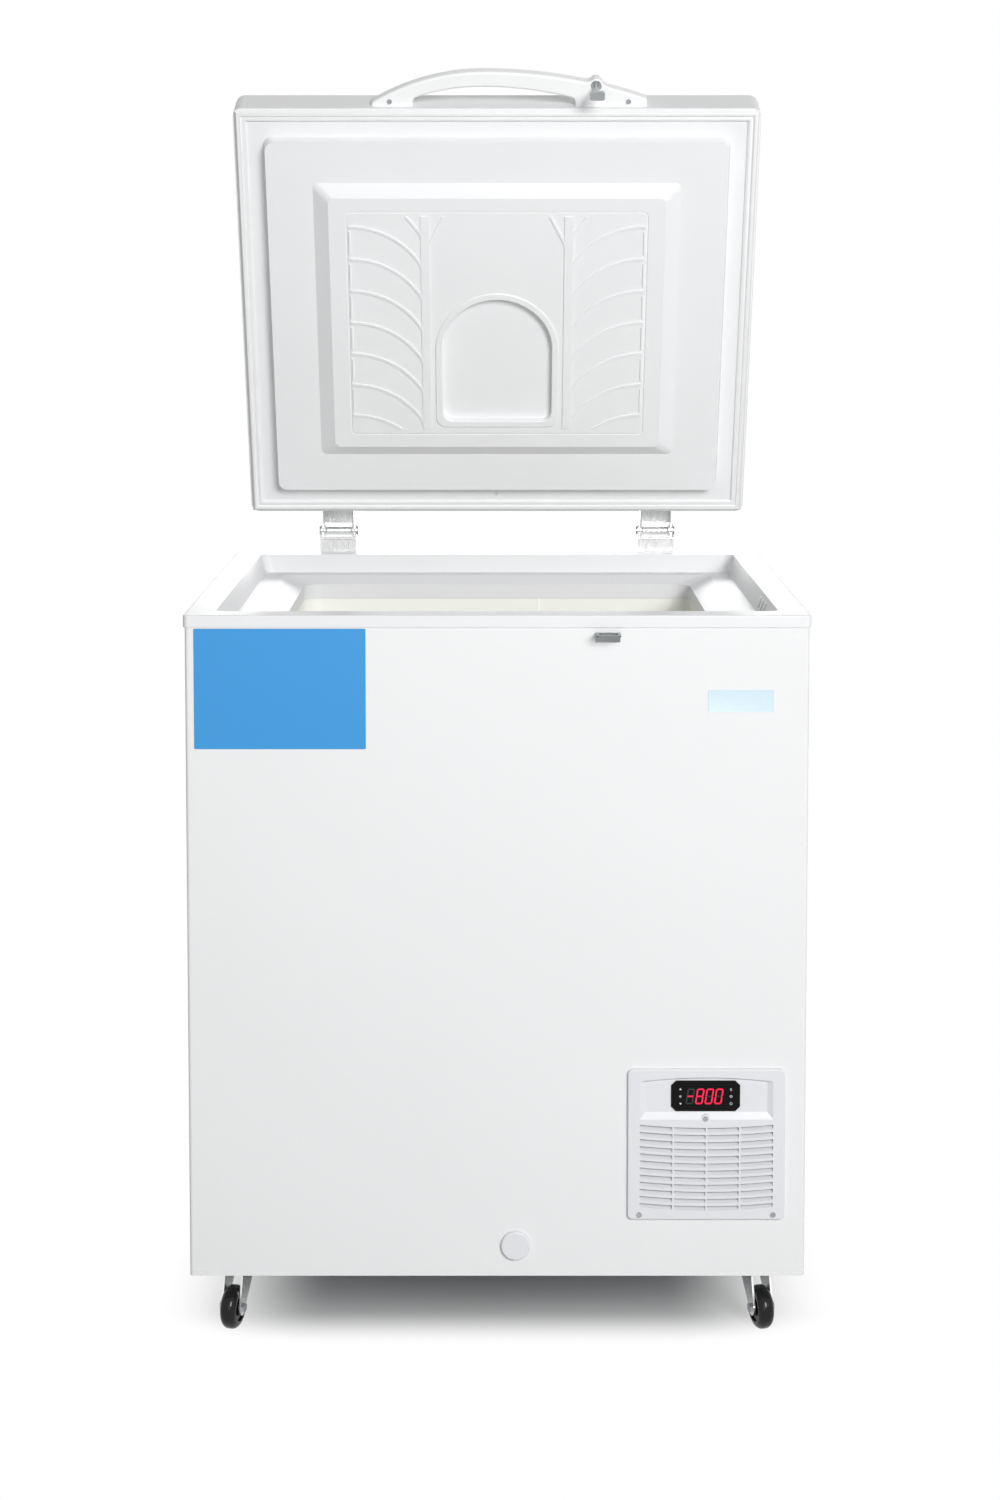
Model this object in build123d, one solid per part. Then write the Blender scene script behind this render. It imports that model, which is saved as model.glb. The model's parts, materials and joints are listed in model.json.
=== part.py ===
"""A compact chest freezer for ultra low temperatures, with its lid standing open.

Lengths are in millimetres. +X is the cabinet's right side, -Y its front and +Z up.
The floor is at Z = 0. Pieces of the lid are modelled with the lid closed and then
swung open about the hinge pin. The whole part is centred on its footprint last.
"""
import os
from math import radians, sin, sqrt

from build123d import *

# Driving dimensions
cabinet_width = 716.0
cabinet_depth = 616.0
rim_top_z = 851.0
cabinet_bottom_z = 75.0
lid_width = 680.0
lid_depth = 584.0
lid_thickness = 60.0
lid_open_deg = 68.0
lid_more_deg = 17.0
sheet = 1.2
overrun = 5.0
seat_gap = 0.3
running_gap = 0.05

half_width = cabinet_width / 2
front_y = -cabinet_depth / 2
back_y = cabinet_depth / 2

# Rim collar
rim_overhang = 2.0
rim_lip_height = 14.0
rim_corner = 6.0
rim_round = 2.0
flange_width = 34.0
step_depth = 24.0
step_draft = 9.0
ledge_width = 26.0
slope_depth = 10.5
neck_inset_side = 99.0
neck_inset_end = 88.0
neck_depth = 54.0
collar_wall = 3.0
collar_corner = 12.0

half_rim_x = half_width + rim_overhang
half_rim_y = cabinet_depth / 2 + rim_overhang

# Liner and its raised floor over the machine compartment
liner_wall = 2.0
liner_setback = 1.0
liner_corner = 24.0
floor_insulation = 100.0
step_insulation = 80.0
compartment_width = 238.0
compartment_top_z = 330.0

liner_top_z = rim_top_z - neck_depth
liner_half_x = half_rim_x - neck_inset_side + liner_setback
liner_half_y = half_rim_y - neck_inset_end + liner_setback
liner_floor_z = cabinet_bottom_z + floor_insulation
compartment_left_x = half_width - compartment_width
liner_step_x = compartment_left_x - step_insulation
liner_step_z = compartment_top_z + step_insulation

# Base pan
pan_sheet = 1.5
pan_upstand = 25.0
pan_floor_z = cabinet_bottom_z + pan_sheet

# Folded hem along the shell's lower edge
hem_rise = 3.5
hem_line = 0.9
hem_depth = 0.5


def block(low, high):
    """A box from its lowest corner to its highest."""
    size = [b - a for a, b in zip(low, high)]
    return Pos(*low) * Box(*size, align=(Align.MIN, Align.MIN, Align.MIN))


def slab(half_x, low_y, high_y, low_z, high_z, corner):
    """An upright prism with rounded corners, centred in X."""
    outline = RectangleRounded(2 * half_x, high_y - low_y, corner)
    return extrude(Pos(0, (low_y + high_y) / 2, low_z) * outline, high_z - low_z)


def section(half_x, low_y, high_y, z, corner):
    """A level rounded rectangle, for lofting."""
    return Pos(0, (low_y + high_y) / 2, z) * RectangleRounded(2 * half_x, high_y - low_y, corner)


def rod(start, direction, radius, length):
    """A cylinder that starts at a point and runs along a direction."""
    base = Plane(origin=start, z_dir=direction)
    return base * Cylinder(radius, length, align=(Align.CENTER, Align.CENTER, Align.MIN))


def tube(points, radius, bend, bore=0.0):
    """A round pipe through points, bent at each corner."""
    path = FilletPolyline(*points, radius=bend)
    start = Plane(origin=path @ 0, z_dir=path % 0)
    outside = sweep(start * Circle(radius), path=path)
    if bore:
        return outside - sweep(start * Circle(bore), path=path)
    return outside


def pan_head(seat, direction, radius, height, hex_share=0.45):
    """A round screw head with a hexagon socket, seated on a face."""
    head = rod(seat, direction, radius, height)
    socket = Plane(origin=seat, z_dir=direction).offset(height / 2)
    return head - extrude(socket * RegularPolygon(radius * hex_share, 6), height)


def funnel(grow):
    """The stepped well inside the rim, grown outwards and down by a wall."""
    step_z = rim_top_z - step_depth
    slope_z = step_z - slope_depth
    levels = [
        (flange_width, flange_width, rim_top_z, collar_corner),
        (flange_width + step_draft, flange_width + step_draft, step_z - grow, collar_corner),
    ]
    ledge = flange_width + step_draft + ledge_width
    lower = [
        (ledge, ledge, step_z - grow, collar_corner),
        (neck_inset_side, neck_inset_end, slope_z - grow, liner_corner),
    ]
    well = None
    for pair in (levels, lower):
        rings = []
        for side, end, z, corner in pair:
            reach_x, reach_y = half_rim_x - side + grow, half_rim_y - end + grow
            rings.append(section(reach_x, -reach_y, reach_y, z, corner))
        frustum = loft(rings, ruled=True)
        well = frustum if well is None else well + frustum
    neck_x = half_rim_x - neck_inset_side + grow
    neck_y = half_rim_y - neck_inset_end + grow
    return well + slab(neck_x, -neck_y, neck_y, liner_top_z, slope_z - grow, liner_corner)


def make_rim_collar():
    """The moulded rim: a flat flange, a lip over the shell, and the stepped well."""
    rim = slab(half_rim_x, -half_rim_y, half_rim_y, rim_top_z - rim_lip_height, rim_top_z, rim_corner)
    rim = fillet(rim.edges().group_by(Axis.Z)[-1], rim_round)
    under = slab(half_width, front_y, back_y, rim_top_z - rim_lip_height - overrun,
                 rim_top_z - collar_wall, rim_corner - rim_overhang)
    rim = rim - under + funnel(collar_wall)
    top_x = half_rim_x - flange_width
    top_y = half_rim_y - flange_width
    mouth = slab(top_x, -top_y, top_y, rim_top_z, rim_top_z + overrun, collar_corner)
    exit_x = half_rim_x - neck_inset_side
    exit_y = half_rim_y - neck_inset_end
    bottom = slab(exit_x, -exit_y, exit_y, liner_top_z - overrun, liner_top_z, liner_corner)
    return rim - funnel(0) - mouth - bottom


def liner_space(grow, top_z):
    """The storage well, deep at the left and stepped up over the machine compartment."""
    upper = slab(liner_half_x + grow, -liner_half_y - grow, liner_half_y + grow,
                 liner_step_z - grow, top_z, liner_corner + grow)
    width = liner_step_x + liner_half_x + 2 * grow
    outline = RectangleRounded(width, 2 * (liner_half_y + grow), liner_corner + grow)
    deep = extrude(Pos((liner_step_x - liner_half_x) / 2, 0, liner_floor_z - grow) * outline,
                   top_z - liner_floor_z + grow)
    return upper + deep


def shell_space(low_z, high_z, inset=0.0):
    """The room inside the cabinet's outer sheet."""
    corner = rim_corner - rim_overhang - sheet
    half_x = half_width - sheet - inset
    half_y = cabinet_depth / 2 - sheet - inset
    return slab(half_x, -half_y, half_y, low_z, high_z, corner)


# Drain, from the well's floor to a cap on the front
drain_inset = 18.5
drain_floor_y = -150.0
drain_z = 112.0
drain_outer_r = 10.0
drain_bore_r = 7.5
drain_bend = 24.0
drain_cap_r = 17.0
drain_cap_height = 5.0
drain_cap_round = 2.0
drain_stem_length = 16.0
drain_stem_gap = 0.3

drain_x = liner_step_x - drain_inset
drain_route = [(drain_x, drain_floor_y, liner_floor_z), (drain_x, drain_floor_y, drain_z),
               (drain_x, front_y, drain_z)]


def make_drain():
    """The drain pipe, and the cap whose stem plugs its end."""
    pipe = tube(drain_route, drain_outer_r, drain_bend, drain_bore_r)
    seat = (drain_x, front_y - seat_gap, drain_z)
    cap = rod(seat, (0, -1, 0), drain_cap_r, drain_cap_height)
    cap = fillet(cap.edges().group_by(Axis.Y)[0], drain_cap_round)
    stem = rod(seat, (0, 1, 0), drain_bore_r - drain_stem_gap, drain_stem_length)
    return pipe, cap + stem


def drain_core():
    """The drain pipe's solid outline, for the holes that it passes through."""
    down = rod((drain_x, drain_floor_y, liner_floor_z + overrun), (0, 0, -1), drain_outer_r,
               overrun + (liner_floor_z - drain_z) / 2)
    out = rod((drain_x, front_y - overrun, drain_z), (0, 1, 0), drain_outer_r,
              overrun + (drain_floor_y - front_y) / 2)
    return down + out + tube(drain_route, drain_outer_r, drain_bend)


# Front vent panel with its louvres
panel_inset = 24.1
panel_width = 182.4
panel_low_z = 143.9
panel_top_z = 322.0
panel_proud = 5.0
panel_corner = 6.0
panel_round = 1.5
louvre_inset = 14.0
louvre_top_z = 256.6
louvre_rows = 12
louvre_pitch = 8.44
louvre_height = 5.2
louvre_rise = 3.3
louvre_sag = 3.8
louvre_bar = 2.0
panel_screw_r = 3.0
panel_screw_head = 1.6
panel_screw_z = 150.0
panel_screw_inset = 13.5
boss_r = 5.0
boss_z = 264.0
recess_low_z = 262.8
recess_side_z = 308.0
recess_crown_z = 312.5
recess_depth = 3.4
recess_corner = 3.0
recess_side_slope = 6.5
recess_low_slope = 8.0
recess_top_slope = 2.0

panel_right_x = half_width - panel_inset
panel_left_x = panel_right_x - panel_width
panel_mid_x = panel_right_x - panel_width / 2
panel_front_y = front_y - panel_proud
louvre_left_x = panel_left_x + louvre_inset
louvre_right_x = panel_right_x - louvre_inset

# Controller, its window and keys
bezel_width = 80.0
bezel_height = 36.0
bezel_shift = 1.1
bezel_mid_z = 290.0
bezel_chamfer = 5.5
bezel_proud = 2.0
bezel_edge = 0.8
housing_width = 71.0
housing_height = 29.0
housing_length = 60.0
housing_fit = 0.5
window_width = 46.0
window_height = 26.0
window_proud = 0.4
window_depth = 1.2
key_r = 2.7
key_pitch = 8.5
key_offset = 29.3
key_proud = 0.9
key_travel = 0.6
key_length = 2.2
key_round = 0.5

bezel_mid_x = panel_mid_x - bezel_shift
housing_front_y = panel_front_y + recess_depth - bezel_proud

# Openings in the cabinet's sheet
vent_margin = 4.0
rear_vent_inset = 28.0
rear_vent_width = 180.0
rear_vent_low_z = 110.0
rear_vent_top_z = 292.0
gland_inset = 178.0
gland_z = 318.0
gland_r = 8.0

rear_vent_right_x = half_width - rear_vent_inset
rear_vent_left_x = rear_vent_right_x - rear_vent_width
gland_x = half_width - gland_inset


def sheet_openings():
    """What is cut from the cabinet's sheet: vents, the controller's place, drain and gland."""
    low_z = louvre_top_z - louvre_sag - louvre_height - louvre_pitch * (louvre_rows - 1)
    vent = block((louvre_left_x - vent_margin, front_y - overrun, low_z - vent_margin),
                 (louvre_right_x + vent_margin, front_y + overrun, louvre_top_z + louvre_pitch / 3))
    place = block((bezel_mid_x - housing_width / 2 - housing_fit, front_y - overrun,
                   bezel_mid_z - housing_height / 2 - housing_fit),
                  (bezel_mid_x + housing_width / 2 + housing_fit, front_y + overrun,
                   bezel_mid_z + housing_height / 2 + housing_fit))
    rear = block((rear_vent_left_x, back_y - overrun, rear_vent_low_z),
                 (rear_vent_right_x, back_y + overrun, rear_vent_top_z))
    drain = rod((drain_x, front_y - overrun, drain_z), (0, 1, 0), drain_outer_r, 2 * overrun)
    gland = rod((gland_x, back_y - overrun, gland_z), (0, 1, 0), gland_r + seat_gap, 2 * overrun)
    return vent + place + rear + drain + gland


def make_shell():
    """The painted steel wrap that forms the cabinet's four sides."""
    top_z = rim_top_z - collar_wall
    outside = slab(half_width, front_y, back_y, cabinet_bottom_z, top_z, rim_corner - rim_overhang)
    hem_z = cabinet_bottom_z + hem_rise
    band = slab(half_width + overrun, front_y - overrun, back_y + overrun, hem_z, hem_z + hem_line, rim_corner)
    band -= slab(half_width - hem_depth, front_y + hem_depth, back_y - hem_depth, hem_z - overrun,
                 hem_z + overrun, rim_corner - rim_overhang - hem_depth)
    return outside - band - shell_space(cabinet_bottom_z - overrun, top_z + overrun) - sheet_openings()


def make_base_pan():
    """The floor pan, folded up inside the shell, which the casters are bolted to."""
    tray = shell_space(cabinet_bottom_z, pan_floor_z + pan_upstand)
    tray -= shell_space(pan_floor_z, pan_floor_z + pan_upstand + overrun, pan_sheet)
    return tray - drain_core()


def compartment_envelope(grow):
    """The machine compartment's room, grown by its sheet over the top and at the left."""
    return block((compartment_left_x - grow, front_y, cabinet_bottom_z),
                 (half_width, back_y, compartment_top_z + grow))


def make_bulkhead(base_pan):
    """The folded sheet between the insulation and the machine compartment."""
    bent = compartment_envelope(sheet) - compartment_envelope(0)
    return (bent & shell_space(pan_floor_z, compartment_top_z + sheet)) - base_pan


def make_liner():
    """The storage well's liner, with the drain's hole in its floor."""
    liner = liner_space(liner_wall, liner_top_z) - liner_space(0, liner_top_z + overrun)
    hole = rod((drain_x, drain_floor_y, liner_floor_z + overrun), (0, 0, -1), drain_outer_r,
               overrun * 2 + liner_wall)
    return liner - hole


def make_cabinet_foam(base_pan):
    """The insulation, poured between the shell, the liner and the rim."""
    fill = shell_space(pan_floor_z, rim_top_z - collar_wall)
    fill -= liner_space(liner_wall, liner_top_z)
    fill -= funnel(collar_wall)
    mouth_x = half_rim_x - neck_inset_side + collar_wall
    mouth_y = half_rim_y - neck_inset_end + collar_wall
    fill -= slab(mouth_x, -mouth_y, mouth_y, liner_top_z - overrun, rim_top_z, liner_corner)
    return fill - compartment_envelope(sheet) - base_pan - drain_core()


def louvre_row(z):
    """One sagging louvre slot, split by the panel's three upright bars."""
    width = louvre_right_x - louvre_left_x
    mid_x = louvre_left_x + width / 2
    top = ThreePointArc((louvre_left_x, z), (mid_x, z - louvre_sag), (louvre_right_x, z))
    low = ThreePointArc((louvre_right_x, z - louvre_height), (mid_x, z - louvre_sag - louvre_height),
                        (louvre_left_x, z - louvre_height))
    ends = [Line(top @ 1, low @ 0), Line(low @ 1, top @ 0)]
    slot = make_face([top, ends[0], low, ends[1]])
    for bar in range(1, 4):
        tall = 2 * (louvre_sag + louvre_height)
        slot -= Pos(louvre_left_x + width * bar / 4, z - louvre_sag) * Rectangle(louvre_bar, 2 * tall)
    return slot


def on_front(sketch, y, amount):
    """A sketch drawn in X and Z, placed on the front and extruded towards the back."""
    front = Plane(origin=(0, y, 0), x_dir=(1, 0, 0), z_dir=(0, -1, 0))
    return extrude(front * sketch, -amount)


def louvre_cut(row):
    """A row's slots, cut up through the panel on a slant so that each blade's face shows."""
    lean = louvre_rise / panel_proud
    front = Plane(origin=(0, panel_front_y - overrun, -lean * overrun), x_dir=(1, 0, 0), z_dir=(0, -1, 0))
    slots = front * louvre_row(louvre_top_z - louvre_pitch * row)
    return extrude(slots, panel_proud + 2 * overrun, dir=(0, 1, lean))


def recess_outline(y, side, low, top):
    """The controller's arched recess at a depth, drawn in by its walls' slopes."""
    left, right = louvre_left_x + side, louvre_right_x - side
    side_z = recess_side_z - top
    crown = ThreePointArc((right, side_z), (panel_mid_x, recess_crown_z - top), (left, side_z))
    foot = Polyline((left, side_z), (left, recess_low_z + low), (right, recess_low_z + low), (right, side_z))
    arch = make_face([crown, foot])
    arch = fillet(arch.vertices().group_by(Axis.Y)[-1], recess_corner)
    return Plane(origin=(0, y, 0), x_dir=(1, 0, 0), z_dir=(0, -1, 0)) * arch


def make_vent_panel():
    """The moulded front panel: louvres below, a shallow arched recess for the controller above."""
    width, height = panel_right_x - panel_left_x, panel_top_z - panel_low_z
    outline = Pos(panel_mid_x, panel_low_z + height / 2) * RectangleRounded(width, height, panel_corner)
    panel = on_front(outline, panel_front_y, panel_proud)
    panel = fillet(panel.edges().group_by(Axis.Y)[0], panel_round)
    for row in range(louvre_rows):
        panel -= louvre_cut(row)
    panel -= loft([recess_outline(panel_front_y, 0, 0, 0),
                   recess_outline(panel_front_y + recess_depth, recess_side_slope, recess_low_slope,
                                  recess_top_slope)], ruled=True)
    place = Pos(bezel_mid_x, bezel_mid_z) * Rectangle(housing_width + 2 * housing_fit,
                                                      housing_height + 2 * housing_fit)
    panel -= on_front(place, panel_front_y - overrun, panel_proud + 2 * overrun)
    boss = rod((bezel_mid_x, front_y, boss_z), (0, -1, 0), boss_r, panel_proud)
    return panel + boss


def key_places():
    """The six keys' names and places, down each side of the window."""
    rows = {"top": key_pitch, "middle": 0, "bottom": -key_pitch}
    sides = {"left": -key_offset, "right": key_offset}
    return {f"key_{side}_{row}": (bezel_mid_x + dx, bezel_mid_z + dz)
            for side, dx in sides.items() for row, dz in rows.items()}


def make_controller():
    """The controller's bezel and body, its window, and its six press keys."""
    face = Pos(bezel_mid_x, bezel_mid_z) * Rectangle(bezel_width, bezel_height)
    face = chamfer(face.vertices(), bezel_chamfer)
    bezel = on_front(face, housing_front_y, bezel_proud)
    bezel = chamfer(bezel.edges().group_by(Axis.Y)[0], bezel_edge)
    tail = Pos(bezel_mid_x, bezel_mid_z) * Rectangle(housing_width, housing_height)
    housing = bezel + on_front(tail, housing_front_y + bezel_proud / 2, housing_length)
    glass = Pos(bezel_mid_x, bezel_mid_z) * RectangleRounded(window_width, window_height, key_r / 2)
    housing -= on_front(glass, housing_front_y - overrun, overrun + window_depth - window_proud)
    window = on_front(glass, housing_front_y - window_proud, window_depth)
    keys = {}
    for name, (x, z) in key_places().items():
        well = rod((x, housing_front_y - overrun, z), (0, 1, 0), key_r + running_gap,
                   overrun + key_length + key_travel)
        housing -= well
        key = rod((x, housing_front_y - key_proud, z), (0, 1, 0), key_r, key_proud + key_length - key_travel)
        keys[name] = fillet(key.edges().group_by(Axis.Y)[0], key_round)
    return housing, window, keys


def make_panel_screws():
    """The panel's screws: one on the boss and one in each lower corner."""
    screws = [pan_head((bezel_mid_x, panel_front_y, boss_z), (0, -1, 0), panel_screw_r, panel_screw_head)]
    for x in (panel_left_x + panel_screw_inset, panel_right_x - panel_screw_inset):
        screws.append(pan_head((x, panel_front_y, panel_screw_z), (0, -1, 0), panel_screw_r, panel_screw_head))
    return Compound(screws)


# Hinges, behind the rim
hinge_inset = 119.0
pin_rise = 27.0
pin_back = 22.0
pin_r = 3.0
pin_head_r = 6.5
pin_head = 2.0
hinge_sheet = 2.5
hinge_base_width = 50.0
hinge_cheek_gap = 1.0
hinge_base_low = 90.0
hinge_web_drop = 7.0
hinge_barrel_r = 9.0
sleeve_r = 6.2
sleeve_wall = 0.8
sleeve_flare = 2.4
curl_r = 1.9
spring_wire = 1.8
spring_turns = 4
spring_gap = 1.0
arm_flange_height = 30.0
hinge_screw_r = 4.2
hinge_screw_head = 2.6
hinge_screw_rise = 22.0

hinge_x = lid_width / 2 - hinge_inset
pin_y = back_y + rim_overhang + pin_back
pin_z = rim_top_z + pin_rise
pin_axis = Axis((0, pin_y, pin_z), (1, 0, 0))

# Lid, as it lies closed
lid_back_inset = 20.0
gasket_height = 5.5
gasket_edge = 2.5
gasket_width = 15.0
gasket_lip = 2.0
lid_corner = 12.0
lid_round = 9.0
lid_skin = 1.5
liner_skin = 2.5
face_step_inset = 38.0
face_step_depth = 16.0
face_step_draft = 3.0
bevel_inset_side = 101.0
bevel_inset_end = 96.0
plug_inset_side = 121.0
plug_inset_end = 113.0
plug_depth = 28.0
plug_corner = 8.0
groove_inset_side = 22.0
groove_inset_end = 18.0
groove_width = 2.4
groove_depth = 1.2

lid_low_z = rim_top_z + seat_gap + gasket_height
lid_back_y = back_y + rim_overhang - lid_back_inset
lid_front_y = lid_back_y - lid_depth
lid_half_x = lid_width / 2
lid_top_z = lid_low_z + lid_thickness

# Fan ribs and arch on the plug's face
rib_width = 3.0
rib_height = 1.6
ridge_inner_x = 89.5
ridge_outer_x = 98.0
fan_side_inset = 26.0
fan_front_inset = 25.0
fan_back_inset = 28.0
fan_first = 14.0
fan_pitch_share = 0.1482
fan_rows = 7
fan_drop = 56.0
dash_width = 2.0
dash_break = 7.0
arch_half_x = 73.0
arch_rim = 9.0
arch_rim_round = 1.4
arch_crown_share = 0.3836
arch_foot_inset = 11.0
arch_foot_corner = 14.0
arch_depth = 9.0
chevron_reach = 20.0
chevron_front = 26.0
chevron_drop = 40.0

fan_outer_x = lid_half_x - plug_inset_side - fan_side_inset
fan_front_y = lid_front_y + plug_inset_end + fan_front_inset
fan_back_y = lid_back_y - plug_inset_end - fan_back_inset
fan_length = fan_back_y - fan_front_y
fan_first_y = fan_front_y + fan_first
fan_pitch = fan_length * fan_pitch_share
arch_crown_y = fan_front_y + fan_length * arch_crown_share
arch_foot_y = fan_back_y - arch_foot_inset


def swing(shape):
    """Turn a piece of the closed lid to where the lid stands open."""
    return shape.rotate(pin_axis, -lid_open_deg)


def lid_slab(inset_side, inset_end, low_z, high_z, corner):
    """A level slab within the lid's outline."""
    return slab(lid_half_x - inset_side, lid_front_y + inset_end, lid_back_y - inset_end, low_z, high_z, corner)


def lid_section(inset_side, inset_end, z, corner):
    """A level section within the lid's outline, for lofting."""
    return section(lid_half_x - inset_side, lid_front_y + inset_end, lid_back_y - inset_end, z, corner)


def lid_face(skin):
    """What stands down from the lid's flange: a step, a bevel and the plug, less a skin."""
    top_z = lid_low_z
    step_z = top_z - face_step_depth + skin
    plug_z = top_z - plug_depth + skin
    inset = face_step_inset + skin
    step = loft([lid_section(inset, inset, top_z, lid_corner),
                 lid_section(inset + face_step_draft, inset + face_step_draft, step_z, lid_corner)], ruled=True)
    bevel = loft([lid_section(bevel_inset_side + skin, bevel_inset_end + skin, step_z, plug_corner),
                  lid_section(plug_inset_side + skin, plug_inset_end + skin, plug_z, plug_corner)], ruled=True)
    return step + bevel


def arch_outline(grow):
    """An arch, round at the front and square-footed at the hinge side, grown by a rim."""
    half = arch_half_x + grow
    centre_y = arch_crown_y + arch_half_x
    foot = arch_foot_y + grow
    crown = ThreePointArc((-half, centre_y), (0, centre_y - half), (half, centre_y))
    sides = Polyline((half, centre_y), (half, foot), (-half, foot), (-half, centre_y))
    arch = make_face([crown, sides])
    return fillet(arch.vertices().group_by(Axis.Y)[-1], arch_foot_corner)


def fan_rib(y):
    """One curved rib, level at the fan's outer edge and falling to the ridge."""
    span = fan_outer_x - ridge_outer_x
    radius = (span ** 2 + fan_drop ** 2) / (2 * fan_drop)
    middle = (fan_outer_x - span / 2, y + radius - sqrt(radius ** 2 - (span / 2) ** 2))
    line = ThreePointArc((fan_outer_x, y), middle, (ridge_outer_x, y + fan_drop))
    return trace(line, line_width=rib_width)


def fan_pattern():
    """The moulded ribs of one side: a broad ridge, the fan of curved ribs, its dashes and the chevron."""
    mid_y = fan_front_y + fan_length / 2
    ridge_mid_x = (ridge_inner_x + ridge_outer_x) / 2
    ribs = [Pos(ridge_mid_x, mid_y) * Rectangle(ridge_outer_x - ridge_inner_x + rib_width, fan_length)]
    ribs += [fan_rib(fan_first_y + fan_pitch * row) for row in range(fan_rows)]
    for row in range(fan_rows - 1):
        dash_y = fan_first_y + fan_pitch * (row + 1 / 2)
        ribs.append(Pos(fan_outer_x - dash_width / 2, dash_y) * Rectangle(dash_width, fan_pitch - 2 * dash_break))
    outer = Line((ridge_outer_x + chevron_reach, fan_front_y), (ridge_outer_x, fan_front_y + chevron_front))
    inner = Line((ridge_inner_x - chevron_reach, fan_front_y), (ridge_inner_x, fan_front_y + chevron_drop))
    ribs += [trace(line, line_width=rib_width) for line in (outer, inner)]
    frame = Pos((fan_outer_x + ridge_inner_x - chevron_reach) / 2, mid_y)
    frame = frame * Rectangle(fan_outer_x - ridge_inner_x + chevron_reach + rib_width, fan_length)
    pattern = ribs[0]
    for rib in ribs[1:]:
        pattern += rib
    return pattern & frame


def make_lid_liner():
    """The lid's moulded inner face: flange, step, plug, fan ribs and the arched recess."""
    flange = lid_slab(lid_skin, lid_skin, lid_low_z, lid_low_z + liner_skin, lid_corner - lid_skin)
    liner = flange + lid_face(0)
    hollow = lid_face(liner_skin)
    mouth_inset = face_step_inset + liner_skin
    hollow += lid_slab(mouth_inset, mouth_inset, lid_low_z, lid_low_z + liner_skin + overrun, lid_corner)
    plug_z = lid_low_z - plug_depth
    arch_z = plug_z + arch_depth
    liner -= hollow
    liner += Pos(0, 0, plug_z) * extrude(arch_outline(liner_skin), arch_depth + liner_skin)
    liner -= Pos(0, 0, arch_z - arch_depth - overrun) * extrude(arch_outline(0), arch_depth + overrun)
    ring = extrude(arch_outline(arch_rim) - arch_outline(0), rib_height)
    ring = fillet(ring.edges().group_by(Axis.Z)[0], arch_rim_round)
    liner += Pos(0, 0, plug_z - rib_height) * ring
    groove_side = plug_inset_side + groove_inset_side
    groove_end = plug_inset_end + groove_inset_end
    groove = lid_slab(groove_side, groove_end, plug_z - overrun, plug_z + groove_depth, plug_corner)
    groove -= lid_slab(groove_side + groove_width, groove_end + groove_width, plug_z - 2 * overrun,
                       plug_z + overrun, plug_corner - groove_width)
    ribs = Pos(0, 0, plug_z - rib_height) * extrude(fan_pattern(), rib_height)
    return liner - groove + ribs + mirror(ribs, about=Plane.YZ)


def make_lid_pan():
    """The lid's painted outer pan, open underneath."""
    pan = lid_slab(0, 0, lid_low_z, lid_top_z, lid_corner)
    pan = fillet(pan.edges().group_by(Axis.Z)[-1], lid_round)
    room = lid_slab(lid_skin, lid_skin, lid_low_z - overrun, lid_top_z - lid_skin, lid_corner - lid_skin)
    return pan - fillet(room.edges().group_by(Axis.Z)[-1], lid_round - lid_skin)


def make_lid_foam():
    """The lid's insulation, between the pan and the inner face."""
    room = lid_slab(lid_skin, lid_skin, lid_low_z + liner_skin, lid_top_z - lid_skin, lid_corner - lid_skin)
    room = fillet(room.edges().group_by(Axis.Z)[-1], lid_round - lid_skin)
    inset = face_step_inset + liner_skin
    room += lid_slab(inset, inset, lid_low_z, lid_low_z + liner_skin, lid_corner) + lid_face(liner_skin)
    arch_top = lid_low_z - plug_depth + arch_depth + liner_skin
    return room - Pos(0, 0, lid_low_z - 2 * plug_depth) * extrude(arch_outline(liner_skin),
                                                                  arch_top - lid_low_z + 2 * plug_depth)


def make_gasket():
    """The lid's seal, a bellows strip with a raised bead along its middle."""
    z = lid_low_z - gasket_height
    edge, inner = gasket_edge, gasket_edge + gasket_width
    bellows = lid_slab(edge + gasket_lip, edge + gasket_lip, z, lid_low_z, lid_corner)
    bellows -= lid_slab(inner - gasket_lip, inner - gasket_lip, z - overrun, lid_low_z + overrun, lid_corner / 2)
    foot = lid_slab(edge, edge, lid_low_z - gasket_lip, lid_low_z, lid_corner)
    foot -= lid_slab(inner, inner, z - overrun, lid_low_z + overrun, lid_corner / 2)
    return bellows + foot


# Handle and lock
handle_left_x = -162.0
handle_right_x = 193.0
handle_crown_x = -17.0
handle_left_fall = 41.5
handle_right_fall = 36.0
handle_grip = 20.4
handle_gap_left_x = -108.0
handle_gap_right_x = 100.0
handle_gap_crown_x = -20.0
handle_gap_fall = 15.6
handle_thick = 20.0
handle_rise = 6.0
handle_corner = 5.0
handle_gap_corner = 8.0
handle_round = 3.5
handle_screw_r = 3.2
handle_screw_head = 1.8
handle_screw_inset = 24.0
handle_screw_reach = 7.0
lock_x = 127.0
lock_barrel_r = 7.0
lock_face_r = 8.0
lock_face = 1.5
lock_wall = 2.0
lock_blend = 14.0
lock_inset = 27.5
lock_clear = 13.5
lock_to_crown = 18.5
lock_stem_r = 3.0
cam_length = 19.0
cam_width = 11.0
cam_height = 7.0
cam_shelf_gap = 2.0
cam_corner = 3.0
key_slot_length = 9.0
key_slot_width = 2.0

handle_low_z = lid_low_z + handle_rise
lock_y = min(lid_front_y - lock_inset, front_y - lock_clear)
handle_crown_y = lock_y - lock_to_crown

# Keeper for the lock's cam, under the rim's lip
keeper_width = 28.0
keeper_sheet = 2.0
keeper_drop = 20.0
keeper_height = 11.0
keeper_margin = 5.0
keeper_slot_length = 21.5
keeper_slot_width = 13.5

keeper_top_z = rim_top_z - keeper_drop
keeper_reach = front_y - (lock_y - keeper_slot_width / 2 - keeper_margin)


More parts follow.
